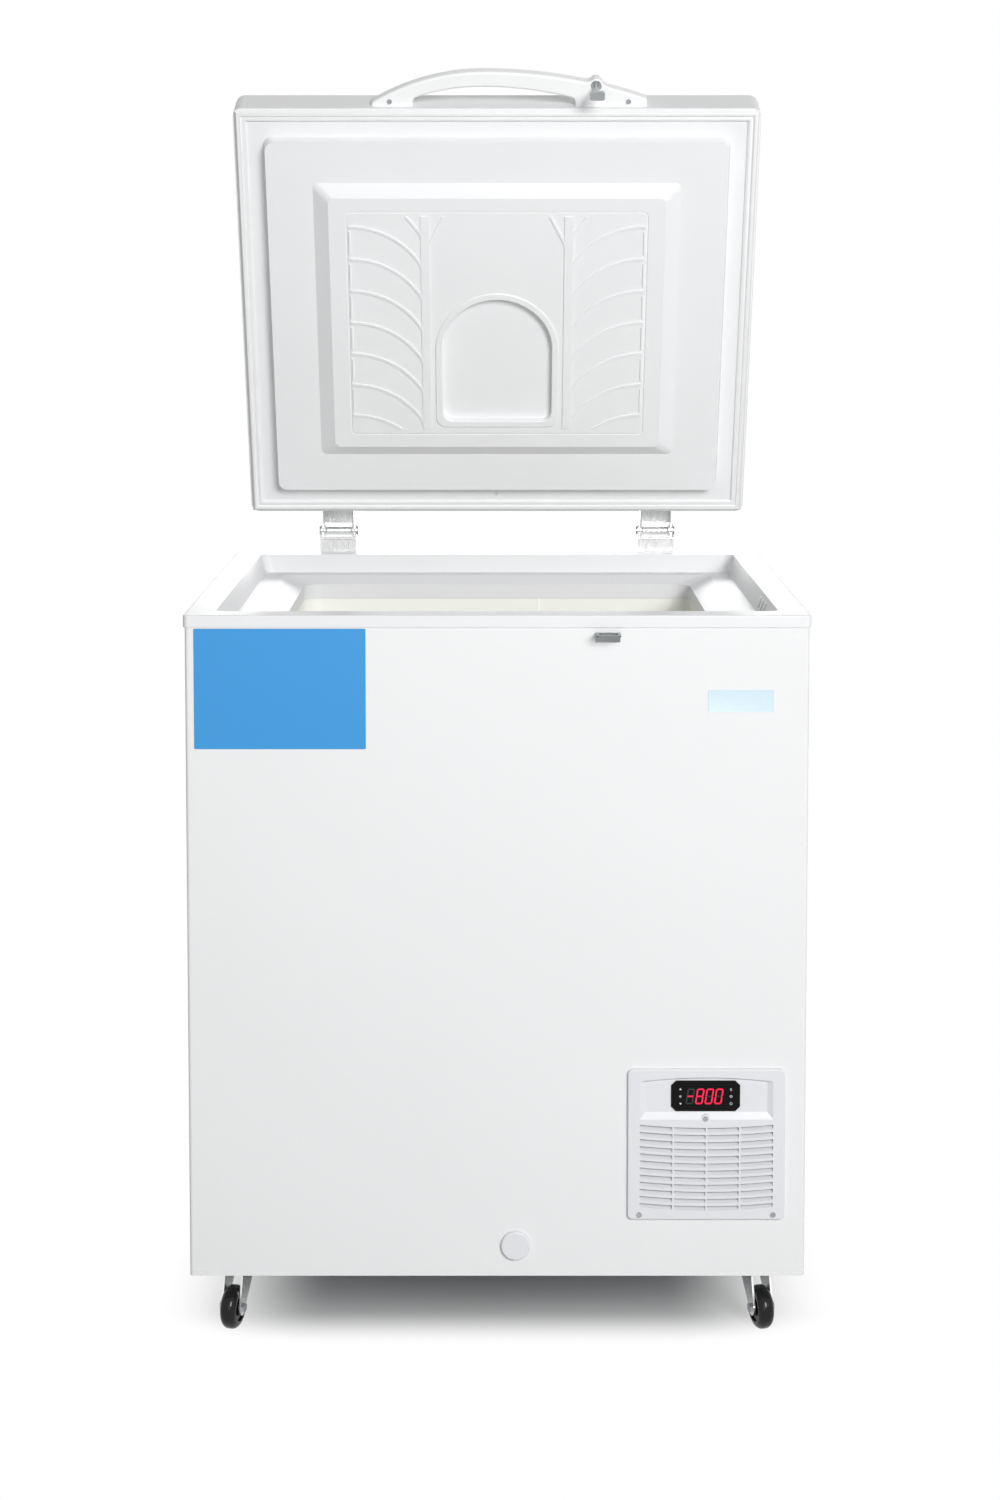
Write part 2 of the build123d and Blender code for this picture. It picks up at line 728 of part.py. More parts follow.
def bowed_outline(left_x, right_x, crown, left_y, right_y, foot_y):
    """A face with a bowed front, level at its crown, and straight sides back to a foot."""
    bow = [TangentArc(crown, (x, y), tangent=(way, 0)) for x, y, way in ((left_x, left_y, -1), (right_x, right_y, 1))]
    foot = Polyline((left_x, left_y), (left_x, foot_y), (right_x, foot_y), (right_x, right_y))
    return make_face([*bow, foot])


def make_handle():
    """The moulded pull, bowed over a bowed finger gap, with a boss round the lock."""
    crown = (handle_crown_x, handle_crown_y)
    left_y, right_y = handle_crown_y + handle_left_fall, handle_crown_y + handle_right_fall
    outline = bowed_outline(handle_left_x, handle_right_x, crown, left_y, right_y, lid_front_y)
    noses = [v for v in outline.vertices() if v.X in (handle_left_x, handle_right_x) and v.Y < lid_front_y]
    outline = fillet(noses, handle_corner)
    outline += Pos(lock_x, lock_y) * Circle(lock_barrel_r + lock_wall)
    joins = [v for v in outline.vertices() if abs(v.X - lock_x) < 2 * lock_barrel_r]
    outline = fillet(joins, lock_blend)
    gap_y = handle_crown_y + handle_grip
    side_y = gap_y + handle_gap_fall
    gap = bowed_outline(handle_gap_left_x, handle_gap_right_x, (handle_gap_crown_x, gap_y), side_y, side_y,
                        lid_front_y + overrun)
    gap = fillet([v for v in gap.vertices() if abs(v.Y - side_y) < running_gap], handle_gap_corner)
    grip = Pos(0, 0, handle_low_z) * extrude(outline - gap, handle_thick)
    outer = [edge for edge in grip.edges() if edge.center().Y < lid_front_y - running_gap]
    flat = [edge for edge in outer if abs(edge.center().Z - handle_low_z - handle_thick / 2) > handle_thick / 4]
    grip = fillet(flat, handle_round)
    return grip - rod((lock_x, lock_y, handle_low_z - overrun), (0, 0, 1), lock_barrel_r + running_gap,
                      handle_thick + 2 * overrun)


def make_lock():
    """The keyed barrel in the handle's foot, and the stem and cross cam below it."""
    top_z = handle_low_z + handle_thick
    barrel = rod((lock_x, lock_y, handle_low_z), (0, 0, 1), lock_barrel_r, handle_thick)
    face = rod((lock_x, lock_y, top_z + seat_gap), (0, 0, 1), lock_face_r, lock_face)
    neck = rod((lock_x, lock_y, top_z), (0, 0, 1), lock_barrel_r, seat_gap)
    slot = Pos(lock_x, lock_y, top_z) * extrude(Rectangle(key_slot_width, key_slot_length), overrun)
    cam_top = keeper_top_z - keeper_sheet - cam_shelf_gap
    stem = rod((lock_x, lock_y, cam_top), (0, 0, 1), lock_stem_r, handle_low_z - cam_top)
    cam = Pos(lock_x, lock_y, cam_top - cam_height) * extrude(
        RectangleRounded(cam_length, cam_width, cam_corner), cam_height)
    return barrel + neck + face - slot, stem + cam


def make_keeper():
    """The keeper: a plate on the front with a slotted shelf that the cam drops through."""
    left, right = lock_x - keeper_width / 2, lock_x + keeper_width / 2
    plate = block((left, front_y - keeper_sheet, keeper_top_z - keeper_height), (right, front_y, keeper_top_z))
    shelf = block((left, front_y - keeper_reach, keeper_top_z - keeper_sheet), (right, front_y, keeper_top_z))
    front_edges = shelf.edges().filter_by(Axis.Z).group_by(Axis.Y)[0]
    shelf = fillet(front_edges, keeper_margin / 2)
    slot = Pos(lock_x, lock_y, keeper_top_z - keeper_sheet - overrun) * extrude(
        RectangleRounded(keeper_slot_length, keeper_slot_width, cam_corner), 2 * overrun)
    return plate + shelf - slot


def make_handle_screws():
    """Screws through the handle's feet."""
    screws = []
    y = lid_front_y - handle_screw_reach
    for x in (handle_left_x + handle_screw_inset, handle_right_x - handle_screw_inset):
        screws.append(pan_head((x, y, handle_low_z), (0, 0, -1), handle_screw_r, handle_screw_head))
    return Compound(screws)


def side_face(points, centre, radius):
    """A face in Y and Z made of a polygon joined to a round end, for hinge cheeks and forks."""
    return make_face(Polyline(*points, close=True)) + Pos(*centre) * Circle(radius)


def on_side(sketch, x, amount):
    """A sketch drawn in Y and Z, placed at a distance along X and extruded towards +X."""
    side = Plane(origin=(x, 0, 0), x_dir=(0, 1, 0), z_dir=(1, 0, 0))
    return extrude(side * sketch, amount)


def make_hinge_base(x):
    """The channel behind the rim: a web on the cabinet's back, and two cheeks for the pin."""
    seat_y = back_y + rim_overhang
    low_z = rim_top_z - hinge_base_low
    web_top = pin_z - hinge_web_drop
    half = hinge_base_width / 2
    web = block((x - half, seat_y, low_z), (x + half, seat_y + hinge_sheet, web_top))
    cheek = side_face(
        [(seat_y, low_z), (seat_y + hinge_barrel_r, low_z), (pin_y + hinge_barrel_r, pin_z - pin_back),
         (pin_y + hinge_barrel_r, pin_z), (pin_y - hinge_barrel_r, pin_z), (seat_y, web_top)],
        (pin_y, pin_z), hinge_barrel_r)
    curl = rod((x - half, seat_y + hinge_sheet / 2, web_top - curl_r), (1, 0, 0), curl_r, hinge_base_width)
    base = web + curl
    for side_x in (x - half, x + half - hinge_sheet):
        base += on_side(cheek, side_x, hinge_sheet)
    return base - rod((x - hinge_base_width, pin_y, pin_z), (1, 0, 0), pin_r, 2 * hinge_base_width)


def make_hinge_arm(x):
    """The lid's channel, with the lid closed: a flange, a web, two cheeks and a flared sleeve."""
    half = hinge_base_width / 2 - hinge_sheet - hinge_cheek_gap
    low_z = pin_z - hinge_web_drop + hinge_cheek_gap
    top_z = pin_z + hinge_barrel_r
    flange = block((x - half, lid_back_y, low_z), (x + half, lid_back_y + hinge_sheet, low_z + arm_flange_height))
    web = block((x - half, lid_back_y, top_z - hinge_sheet), (x + half, pin_y - hinge_barrel_r, top_z))
    cheek = side_face([(lid_back_y, low_z), (pin_y, low_z), (pin_y, top_z), (lid_back_y, top_z)],
                      (pin_y, pin_z), hinge_barrel_r)
    arm = flange + web
    for side_x in (x - half, x + half - hinge_sheet):
        arm += on_side(cheek, side_x, hinge_sheet)
    arm += make_sleeve(x, half - hinge_sheet)
    return arm - rod((x - hinge_base_width, pin_y, pin_z), (1, 0, 0), pin_r + running_gap, 2 * hinge_base_width)


def make_sleeve(x, half):
    """The sleeve over the hinge's spring, flared at each end, between the arm's cheeks."""
    sleeve = rod((x - half, pin_y, pin_z), (1, 0, 0), sleeve_r, 2 * half)
    for way in (-1, 1):
        end = Plane(origin=(x + way * half, pin_y, pin_z), z_dir=(-way, 0, 0))
        sleeve += end * Cone(sleeve_r + sleeve_flare, sleeve_r, sleeve_flare,
                             align=(Align.CENTER, Align.CENTER, Align.MIN))
    return sleeve - rod((x - half, pin_y, pin_z), (1, 0, 0), sleeve_r - sleeve_wall, 2 * half)


def make_hinge_pin(x):
    """The hinge's pin, with a head at each end."""
    reach = hinge_base_width / 2 + pin_head
    pin = rod((x - reach, pin_y, pin_z), (1, 0, 0), pin_r, 2 * reach)
    for end in (x - reach, x + reach - pin_head):
        pin += rod((end, pin_y, pin_z), (1, 0, 0), pin_head_r, pin_head)
    return pin


def make_hinge_spring(x):
    """The coil round the hinge's pin that carries most of the lid's weight."""
    radius = pin_r + seat_gap + spring_wire / 2
    pitch = spring_wire + spring_gap
    coil = Helix(pitch, pitch * spring_turns, radius, center=(0, 0, 0), direction=(0, 0, 1))
    start = Plane(origin=coil @ 0, z_dir=coil % 0)
    wire = sweep(start * RegularPolygon(spring_wire / 2, 6), path=coil, is_frenet=True)
    place = Plane(origin=(x - pitch * spring_turns / 2, pin_y, pin_z), z_dir=(1, 0, 0))
    return place * wire


def make_hinge_screws():
    """Screws that hold the hinges' webs to the cabinet's back."""
    seat_y = back_y + rim_overhang + hinge_sheet
    low_z = rim_top_z - hinge_base_low
    spread = hinge_base_width / 4
    return Compound([pan_head((x + dx, seat_y, low_z + hinge_screw_rise * row), (0, 1, 0),
                              hinge_screw_r, hinge_screw_head)
                     for x in (-hinge_x, hinge_x) for dx in (-spread, spread) for row in (1, 2)])


def make_arm_screws():
    """Screws that hold the hinges' arms to the lid's back."""
    z = pin_z
    spread = hinge_base_width / 4
    return Compound([pan_head((x + dx, lid_back_y + hinge_sheet, z), (0, 1, 0), hinge_screw_r, hinge_screw_head)
                     for x in (-hinge_x, hinge_x) for dx in (-spread, spread)])


# Casters
caster_inset_x = 52.0
caster_inset_y = 50.0
caster_plate_width = 50.0
caster_plate_length = 44.0
caster_plate = 3.0
caster_race_r = 17.0
caster_race = 5.0
kingpin_r = 5.0
fork_top_r = 18.0
fork_sheet = 2.3
fork_bend = 7.0
fork_trail = 20.0
fork_foot_r = 9.0
fork_yaw_deg = 15.0
wheel_r = 25.0
wheel_width = 19.0
wheel_round = 8.0
wheel_hub_r = 10.0
wheel_dish = 2.0
wheel_rim = 5.0
axle_r = 3.0
axle_head_r = 5.5
axle_head = 3.0
axle_clear = 0.5

caster_x = half_width - caster_inset_x
caster_y = cabinet_depth / 2 - caster_inset_y
caster_plate_z = cabinet_bottom_z - caster_plate
fork_top_z = caster_plate_z - caster_race - seat_gap
fork_half = wheel_width / 2 + axle_clear


def caster_places():
    """Each caster's number, place and the way that its wheel trails from its swivel."""
    places = {}
    number = 1
    for side_y in (-1, 1):
        for side_x in (-1, 1):
            yaw = side_x * fork_yaw_deg
            if side_y > 0:
                yaw = 180 - yaw
            places[number] = Location((side_x * caster_x, side_y * caster_y, 0), (0, 0, yaw))
            number += 1
    return places


def make_caster_plate():
    """A caster's plate with its raceway, at the swivel's axis."""
    plate = Pos(0, 0, caster_plate_z) * extrude(
        RectangleRounded(caster_plate_width, caster_plate_length, wheel_rim), caster_plate)
    race = rod((0, 0, caster_plate_z - caster_race), (0, 0, 1), caster_race_r, caster_race)
    race = chamfer(race.edges().group_by(Axis.Z)[0], caster_race / 3)
    return plate + race - rod((0, 0, caster_plate_z - 2 * caster_race), (0, 0, 1), kingpin_r + running_gap,
                              2 * caster_race + caster_plate / 2)


def fork_bow(half, top_z, bend):
    """A tall block, rounded over its top corners, that a fork is bent round."""
    bow = RectangleRounded(2 * half, 2 * top_z, bend)
    return on_front(bow, -2 * fork_trail, 4 * fork_trail)


def make_fork():
    """A caster's fork, trailing towards -Y: one strip bent over the wheel, and the kingpin."""
    strip = fork_bow(fork_half + fork_sheet, fork_top_z, fork_bend)
    strip -= fork_bow(fork_half, fork_top_z - fork_sheet, fork_bend - fork_sheet)
    leg = side_face(
        [(-fork_top_r, fork_top_z), (-fork_trail - fork_foot_r, wheel_r), (-fork_trail + fork_foot_r, wheel_r),
         (fork_top_r, fork_top_z - fork_foot_r), (fork_top_r, fork_top_z)],
        (-fork_trail, wheel_r), fork_foot_r)
    fork = strip & on_side(leg, -2 * fork_half, 4 * fork_half)
    fork += rod((0, 0, fork_top_z - fork_sheet), (0, 0, 1), kingpin_r,
                fork_sheet + seat_gap + caster_race + caster_plate / 2 - running_gap)
    return fork - rod((-2 * fork_half, -fork_trail, wheel_r), (1, 0, 0), axle_r, 4 * fork_half)


def make_wheel():
    """A caster's wheel: a rounded tread, a dished web and a hub with a bore."""
    half = wheel_width / 2
    wheel = rod((-half, -fork_trail, wheel_r), (1, 0, 0), wheel_r, wheel_width)
    ends = wheel.edges().group_by(Axis.X)
    wheel = fillet(ends[0] + ends[-1], wheel_round)
    dish_r = wheel_r - wheel_rim - wheel_round / 2
    for start, way in ((-half - overrun, 1), (half + overrun, -1)):
        ring = rod((start, -fork_trail, wheel_r), (way, 0, 0), dish_r, overrun + wheel_dish)
        ring -= rod((start, -fork_trail, wheel_r), (way, 0, 0), wheel_hub_r, overrun + wheel_dish)
        wheel -= ring
    return wheel - rod((-wheel_width, -fork_trail, wheel_r), (1, 0, 0), axle_r + running_gap, 2 * wheel_width)


def make_axle():
    """A caster's axle bolt, with a hexagon head and nut outside the fork."""
    half = fork_half + fork_sheet
    axle = rod((-half, -fork_trail, wheel_r), (1, 0, 0), axle_r, 2 * half)
    for start in (-half - axle_head, half):
        ends = Plane(origin=(start, -fork_trail, wheel_r), z_dir=(1, 0, 0))
        axle += extrude(ends * RegularPolygon(axle_head_r, 6), axle_head)
    return axle


# Refrigeration machinery, in the compartment at the right
compressor_inset_x = 96.0
compressor_inset_y = 188.0
compressor_r = 64.0
compressor_height = 140.0
compressor_dome = 26.0
compressor_seam = 3.0
compressor_seam_height = 6.0
compressor_foot_width = 150.0
compressor_foot_depth = 110.0
compressor_foot = 3.0
grommet_r = 10.0
grommet_height = 14.0
grommet_inset = 13.0
condenser_inset = 40.0
condenser_width = 146.0
condenser_setback = 16.0
condenser_depth = 28.0
condenser_low_z = 92.0
condenser_height = 160.0
condenser_end = 2.0
condenser_bends = 4
condenser_pipe_r = 4.0
fin_pitch = 9.0
fin_slot = 4.5
fin_slot_depth = 7.0
fan_z = 172.0
fan_setback = 28.0
fan_r = 56.0
fan_hub_r = 15.0
fan_hub = 14.0
fan_blades = 5
fan_blade = 1.6
fan_pitch_deg = 32.0
fan_sweep_deg = 58.0
blade_share = 0.8
fan_clear = 6.0
bracket_half = 70.0
bracket_sheet = 2.0
bracket_strut = 8.0
bracket_hub_r = 20.0
motor_r = 22.0
motor_length = 38.0
motor_shaft_r = 3.0
drier_r = 11.0
drier_length = 70.0
drier_neck = 12.0
drier_inset = 45.0
drier_setback = 80.0
drier_z = 190.0
pipe_r = 4.0
pipe_bend = 14.0
electrical_depth = 34.0
electrical_length = 90.0
electrical_height = 80.0
electrical_setback = 190.0
electrical_z = 190.0
electrical_round = 4.0
grille_margin = 10.0
grille_sheet = 1.5
grille_slots = 9
grille_slot_height = 8.0
grille_bar = 12.0
grille_screw_r = 3.5
grille_screw_head = 2.0
gland_flange_r = 12.0
gland_flange = 4.0
gland_dome = 14.0
gland_bore_r = 4.0

compressor_x = half_width - compressor_inset_x
compressor_y = back_y - compressor_inset_y
compressor_low_z = pan_floor_z + grommet_height
condenser_right_x = half_width - condenser_inset
condenser_left_x = condenser_right_x - condenser_width
condenser_front_y = front_y + condenser_setback
condenser_back_y = condenser_front_y + condenser_depth
condenser_mid_y = condenser_front_y + condenser_depth / 2
fan_x = condenser_right_x - condenser_width / 2
fan_y = condenser_back_y + fan_setback
drier_x = compartment_left_x + drier_inset
drier_y = compressor_y - drier_setback
electrical_y = compressor_y - electrical_setback


def make_compressor():
    """The welded compressor: a domed pot with a seam, on its foot plate."""
    low_z = compressor_low_z + compressor_foot
    pot = rod((compressor_x, compressor_y, low_z), (0, 0, 1), compressor_r, compressor_height)
    ends = pot.edges().group_by(Axis.Z)
    pot = fillet(ends[0] + ends[-1], compressor_dome)
    seam_z = low_z + compressor_height / 2
    pot += rod((compressor_x, compressor_y, seam_z), (0, 0, 1), compressor_r + compressor_seam, compressor_seam_height)
    foot = Pos(compressor_x, compressor_y, compressor_low_z) * extrude(
        RectangleRounded(compressor_foot_width, compressor_foot_depth, grommet_r), compressor_foot)
    return pot + foot


def make_grommets():
    """Rubber mounts between the compressor's foot and the base pan."""
    dx = compressor_foot_width / 2 - grommet_inset
    dy = compressor_foot_depth / 2 - grommet_inset
    return Compound([rod((compressor_x + x, compressor_y + y, pan_floor_z), (0, 0, 1), grommet_r, grommet_height)
                     for x in (-dx, dx) for y in (-dy, dy)])


def make_condenser():
    """The finned condenser behind the front louvres, with its return bends and feet."""
    top_z = condenser_low_z + condenser_height
    core = block((condenser_left_x + condenser_end, condenser_front_y, condenser_low_z),
                 (condenser_right_x - condenser_end, condenser_back_y, top_z))
    count = int((condenser_right_x - condenser_left_x - 2 * condenser_end) / fin_pitch)
    first = (condenser_left_x + condenser_right_x - fin_pitch * (count - 1)) / 2
    for index in range(count):
        x = first + fin_pitch * index
        for face_y in (condenser_front_y, condenser_back_y):
            core -= block((x - fin_slot / 2, face_y - fin_slot_depth, condenser_low_z + fin_slot),
                          (x + fin_slot / 2, face_y + fin_slot_depth, top_z - fin_slot))
    for x in (condenser_left_x, condenser_right_x - condenser_end):
        core += block((x, condenser_front_y, pan_floor_z), (x + condenser_end, condenser_back_y, top_z))
    pitch = condenser_height / (2 * condenser_bends)
    for side, way in ((condenser_left_x, -1), (condenser_right_x, 1)):
        for index in range(condenser_bends):
            z = condenser_low_z + pitch * (2 * index + 1)
            bend = Plane(origin=(side, condenser_mid_y, z), z_dir=(0, 1, 0)) * Torus(pitch / 2, condenser_pipe_r)
            far = side + way * pitch
            keep = block((min(side, far), condenser_front_y, z - pitch), (max(side, far), condenser_back_y, z + pitch))
            core += bend & keep
    return core


def make_fan_bracket():
    """The fan's plate: a round air opening, three struts and a hub that carries the motor."""
    plate = Pos(fan_x, fan_z) * RectangleRounded(2 * bracket_half, 2 * bracket_half, bracket_strut)
    plate += Pos(fan_x, (fan_z + pan_floor_z) / 2) * Rectangle(2 * bracket_half, fan_z - pan_floor_z)
    air = Pos(fan_x, fan_z) * Circle(fan_r + fan_clear)
    for index in range(3):
        strut = Pos(0, fan_r / 2 + fan_clear / 2) * Rectangle(bracket_strut, fan_r + 2 * fan_clear)
        air -= Pos(fan_x, fan_z) * Rot(0, 0, 120 * index + 60) * strut
    air -= Pos(fan_x, fan_z) * Circle(bracket_hub_r)
    bracket = on_front(plate - air, fan_y, bracket_sheet)
    return bracket - rod((fan_x, fan_y - overrun, fan_z), (0, 1, 0), motor_shaft_r + seat_gap, 2 * overrun)


def make_fan_motor():
    """The fan's motor, behind the bracket's hub, with its shaft towards the front."""
    back = fan_y + bracket_sheet
    can = rod((fan_x, back, fan_z), (0, 1, 0), motor_r, motor_length)
    can = fillet(can.edges().group_by(Axis.Y)[-1], motor_shaft_r)
    shaft_start = fan_y - seat_gap - fan_hub
    return can + rod((fan_x, shaft_start, fan_z), (0, 1, 0), motor_shaft_r, back - shaft_start)


def make_fan_blade():
    """The fan: a hub on the motor's shaft, and pitched blades."""
    front = fan_y - seat_gap - fan_hub
    hub = rod((fan_x, front, fan_z), (0, 1, 0), fan_hub_r, fan_hub)
    fan = fillet(hub.edges().group_by(Axis.Y)[0], motor_shaft_r)
    chord = 2 * fan_r * sin(radians(fan_sweep_deg / 2)) * blade_share
    for index in range(fan_blades):
        length = fan_r - fan_hub_r / 2
        blade = Pos(0, 0, fan_hub_r / 2 + length / 2) * Rot(0, 0, fan_pitch_deg) * Box(chord, fan_blade, length)
        fan += Pos(fan_x, front + fan_hub / 2, fan_z) * Rot(0, 360 / fan_blades * index, 0) * blade
    disc = rod((fan_x, front, fan_z), (0, 1, 0), fan_r, fan_hub)
    fan &= disc
    return fan - rod((fan_x, front - overrun, fan_z), (0, 1, 0), motor_shaft_r + running_gap, fan_hub + 2 * overrun)


def make_drier():
    """The filter drier, an upright copper can with a cone at each end."""
    can = rod((drier_x, drier_y, drier_z - drier_length / 2), (0, 0, 1), drier_r, drier_length)
    for way in (-1, 1):
        base = Plane(origin=(drier_x, drier_y, drier_z + way * drier_length / 2), z_dir=(0, 0, way))
        can += base * Cone(drier_r, pipe_r, drier_neck, align=(Align.CENTER, Align.CENTER, Align.MIN))
    return can


def make_pipes():
    """The discharge, liquid and suction pipes of the refrigerant circuit."""
    pot_top = compressor_low_z + compressor_foot + compressor_height
    inlet_z = condenser_low_z + condenser_height
    high_z = max(pot_top, inlet_z) + 2 * pipe_bend
    discharge_x = compressor_x + compressor_r / 2
    discharge = tube([(discharge_x, compressor_y, pot_top), (discharge_x, compressor_y, high_z),
                      (discharge_x, condenser_mid_y, high_z), (discharge_x, condenser_mid_y, inlet_z)],
                     pipe_r, pipe_bend)
    drier_top = drier_z + drier_length / 2 + drier_neck
    liquid_z = drier_top + 2 * pipe_bend
    liquid_x = condenser_left_x + pipe_bend
    liquid = tube([(liquid_x, condenser_mid_y, inlet_z), (liquid_x, condenser_mid_y, liquid_z + pipe_bend),
                   (liquid_x, drier_y, liquid_z + pipe_bend), (drier_x, drier_y, liquid_z + pipe_bend),
                   (drier_x, drier_y, drier_top)], pipe_r, pipe_bend / 2)
    suction_x = compressor_x - compressor_r / 4
    suction = tube([(suction_x, compressor_y, pot_top), (suction_x, compressor_y, high_z + 2 * pipe_bend),
                    (compartment_left_x, compressor_y, high_z + 2 * pipe_bend)], pipe_r, pipe_bend)
    low_z = drier_z - drier_length / 2 - drier_neck
    capillary = tube([(drier_x, drier_y, low_z), (drier_x, drier_y, low_z - 2 * pipe_bend),
                      (compartment_left_x, drier_y, low_z - 2 * pipe_bend)], pipe_r / 2, pipe_bend)
    return Compound([discharge, liquid, suction, capillary])


def make_electrical_box():
    """The terminal box on the compartment's right wall."""
    wall_x = half_width - sheet
    box = block((wall_x - electrical_depth, electrical_y, electrical_z),
                (wall_x, electrical_y + electrical_length, electrical_z + electrical_height))
    return fillet(box.edges().group_by(Axis.X)[0], electrical_round)


def make_rear_grille():
    """The slotted sheet over the compartment's rear opening."""
    left, right = rear_vent_left_x - grille_margin, rear_vent_right_x + grille_margin
    low_z, top_z = rear_vent_low_z - grille_margin, rear_vent_top_z + grille_margin
    grille = block((left, back_y, low_z), (right, back_y + grille_sheet, top_z))
    grille = fillet(grille.edges().filter_by(Axis.Y), grille_margin / 2)
    pitch = (rear_vent_top_z - rear_vent_low_z) / grille_slots
    width = (rear_vent_right_x - rear_vent_left_x - 3 * grille_bar) / 2
    for row in range(grille_slots):
        z = rear_vent_low_z + pitch * (row + 1 / 2)
        for x in (rear_vent_left_x + grille_bar + width / 2, rear_vent_right_x - grille_bar - width / 2):
            slot = Pos(x, z) * SlotOverall(width, grille_slot_height)
            grille -= on_front(slot, back_y - overrun, 2 * overrun)
    return grille


def make_grille_screws():
    """Screws at the rear grille's corners."""
    inset = grille_margin / 2
    return Compound([pan_head((x, back_y + grille_sheet, z), (0, 1, 0), grille_screw_r, grille_screw_head)
                     for x in (rear_vent_left_x - inset, rear_vent_right_x + inset)
                     for z in (rear_vent_low_z - inset, rear_vent_top_z + inset)])


def make_gland():
    """The cable gland above the rear grille."""
    flange = Plane(origin=(gland_x, back_y, gland_z), z_dir=(0, 1, 0))
    gland = extrude(flange * RegularPolygon(gland_flange_r, 6), gland_flange)
    dome = rod((gland_x, back_y + gland_flange, gland_z), (0, 1, 0), gland_r, gland_dome)
    gland += fillet(dome.edges().group_by(Axis.Y)[-1], gland_r / 3)
    gland += rod((gland_x, back_y - sheet - overrun, gland_z), (0, 1, 0), gland_r, sheet + overrun)
    return gland - rod((gland_x, back_y - 2 * overrun, gland_z), (0, 1, 0), gland_bore_r,
                       gland_dome + gland_flange + 3 * overrun)


def build():
    """Every piece by its name, before the part is centred on its footprint."""
    base_pan = make_base_pan()
    drain_tube, drain_cap = make_drain()
    housing, window, keys = make_controller()
    lock_barrel, lock_cam = make_lock()
    pieces = {
        "cabinet_shell": make_shell(),
        "inner_liner": make_liner(),
        "cabinet_foam": make_cabinet_foam(base_pan),
        "rim_collar": make_rim_collar(),
        "base_pan": base_pan,
        "compartment_bulkhead": make_bulkhead(base_pan),
        "front_vent_panel": make_vent_panel(),
        "controller_housing": housing,
        "display_window": window,
        "panel_screws": make_panel_screws(),
        "drain_tube": drain_tube,
        "drain_cap": drain_cap,
        "lock_keeper": make_keeper(),
        "compressor": make_compressor(),
        "compressor_mounts": make_grommets(),
        "condenser": make_condenser(),
        "fan_bracket": make_fan_bracket(),
        "fan_motor": make_fan_motor(),
        "fan_blade": make_fan_blade(),
        "filter_drier": make_drier(),
        "refrigerant_pipes": make_pipes(),
        "electrical_box": make_electrical_box(),
        "rear_grille": make_rear_grille(),
        "grille_screws": make_grille_screws(),
        "cable_gland": make_gland(),
        "hinge_base_left": make_hinge_base(-hinge_x),
        "hinge_base_right": make_hinge_base(hinge_x),
        "hinge_pins": Compound([make_hinge_pin(x) for x in (-hinge_x, hinge_x)]),
        "hinge_springs": Compound([make_hinge_spring(x) for x in (-hinge_x, hinge_x)]),
        "hinge_screws": make_hinge_screws(),
        "lid_outer_pan": swing(make_lid_pan()),
        "lid_foam": swing(make_lid_foam()),
        "lid_liner": swing(make_lid_liner()),
        "lid_gasket": swing(make_gasket()),
        "lid_handle": swing(make_handle()),
        "handle_screws": swing(make_handle_screws()),
        "hinge_arm_left": swing(make_hinge_arm(-hinge_x)),
        "hinge_arm_right": swing(make_hinge_arm(hinge_x)),
        "hinge_arm_screws": swing(make_arm_screws()),
        "lock_barrel": swing(lock_barrel),
        "lock_cam": swing(lock_cam),
    }
    pieces.update(keys)
    places = caster_places()
    pieces["caster_plates"] = Compound([place * make_caster_plate() for place in places.values()])
    for number, place in places.items():
        pieces[f"caster_fork_{number}"] = place * make_fork()
        pieces[f"caster_wheel_{number}"] = place * make_wheel()
        pieces[f"caster_axle_{number}"] = place * make_axle()
    return pieces


def main():
    """Centre the part on its footprint, write each piece, and print the joints' places."""
    pieces = build()
    boxes = [piece.bounding_box() for piece in pieces.values()]
    middle_y = (min(box.min.Y for box in boxes) + max(box.max.Y for box in boxes)) / 2
    shift = Location((0, -middle_y, 0))
    os.makedirs("parts", exist_ok=True)
    for name, piece in pieces.items():
        export_step(shift * piece, f"parts/{name}.step")
    lock = swing(Pos(lock_x, lock_y, handle_low_z) * Vertex(0, 0, 0)).center()
    print("shift_y", round(-middle_y, 4))
    print("hinge", 0, round(pin_y - middle_y, 4), pin_z)
    print("lock", round(lock.X, 4), round(lock.Y - middle_y, 4), round(lock.Z, 4))


if __name__ == "__main__":
    main()
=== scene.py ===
"""The looks of a small chest freezer with its lid standing open.

Lengths are in metres, in the frame's own coordinates: +X is the cabinet's right side,
-Y its front and +Z up. Pieces of the lid are modelled with the lid closed and then turned.
"""
import json
import math

import bmesh
import bpy
from bpy.props import FloatProperty, FloatVectorProperty, IntProperty, PointerProperty
from mathutils import Matrix, Vector


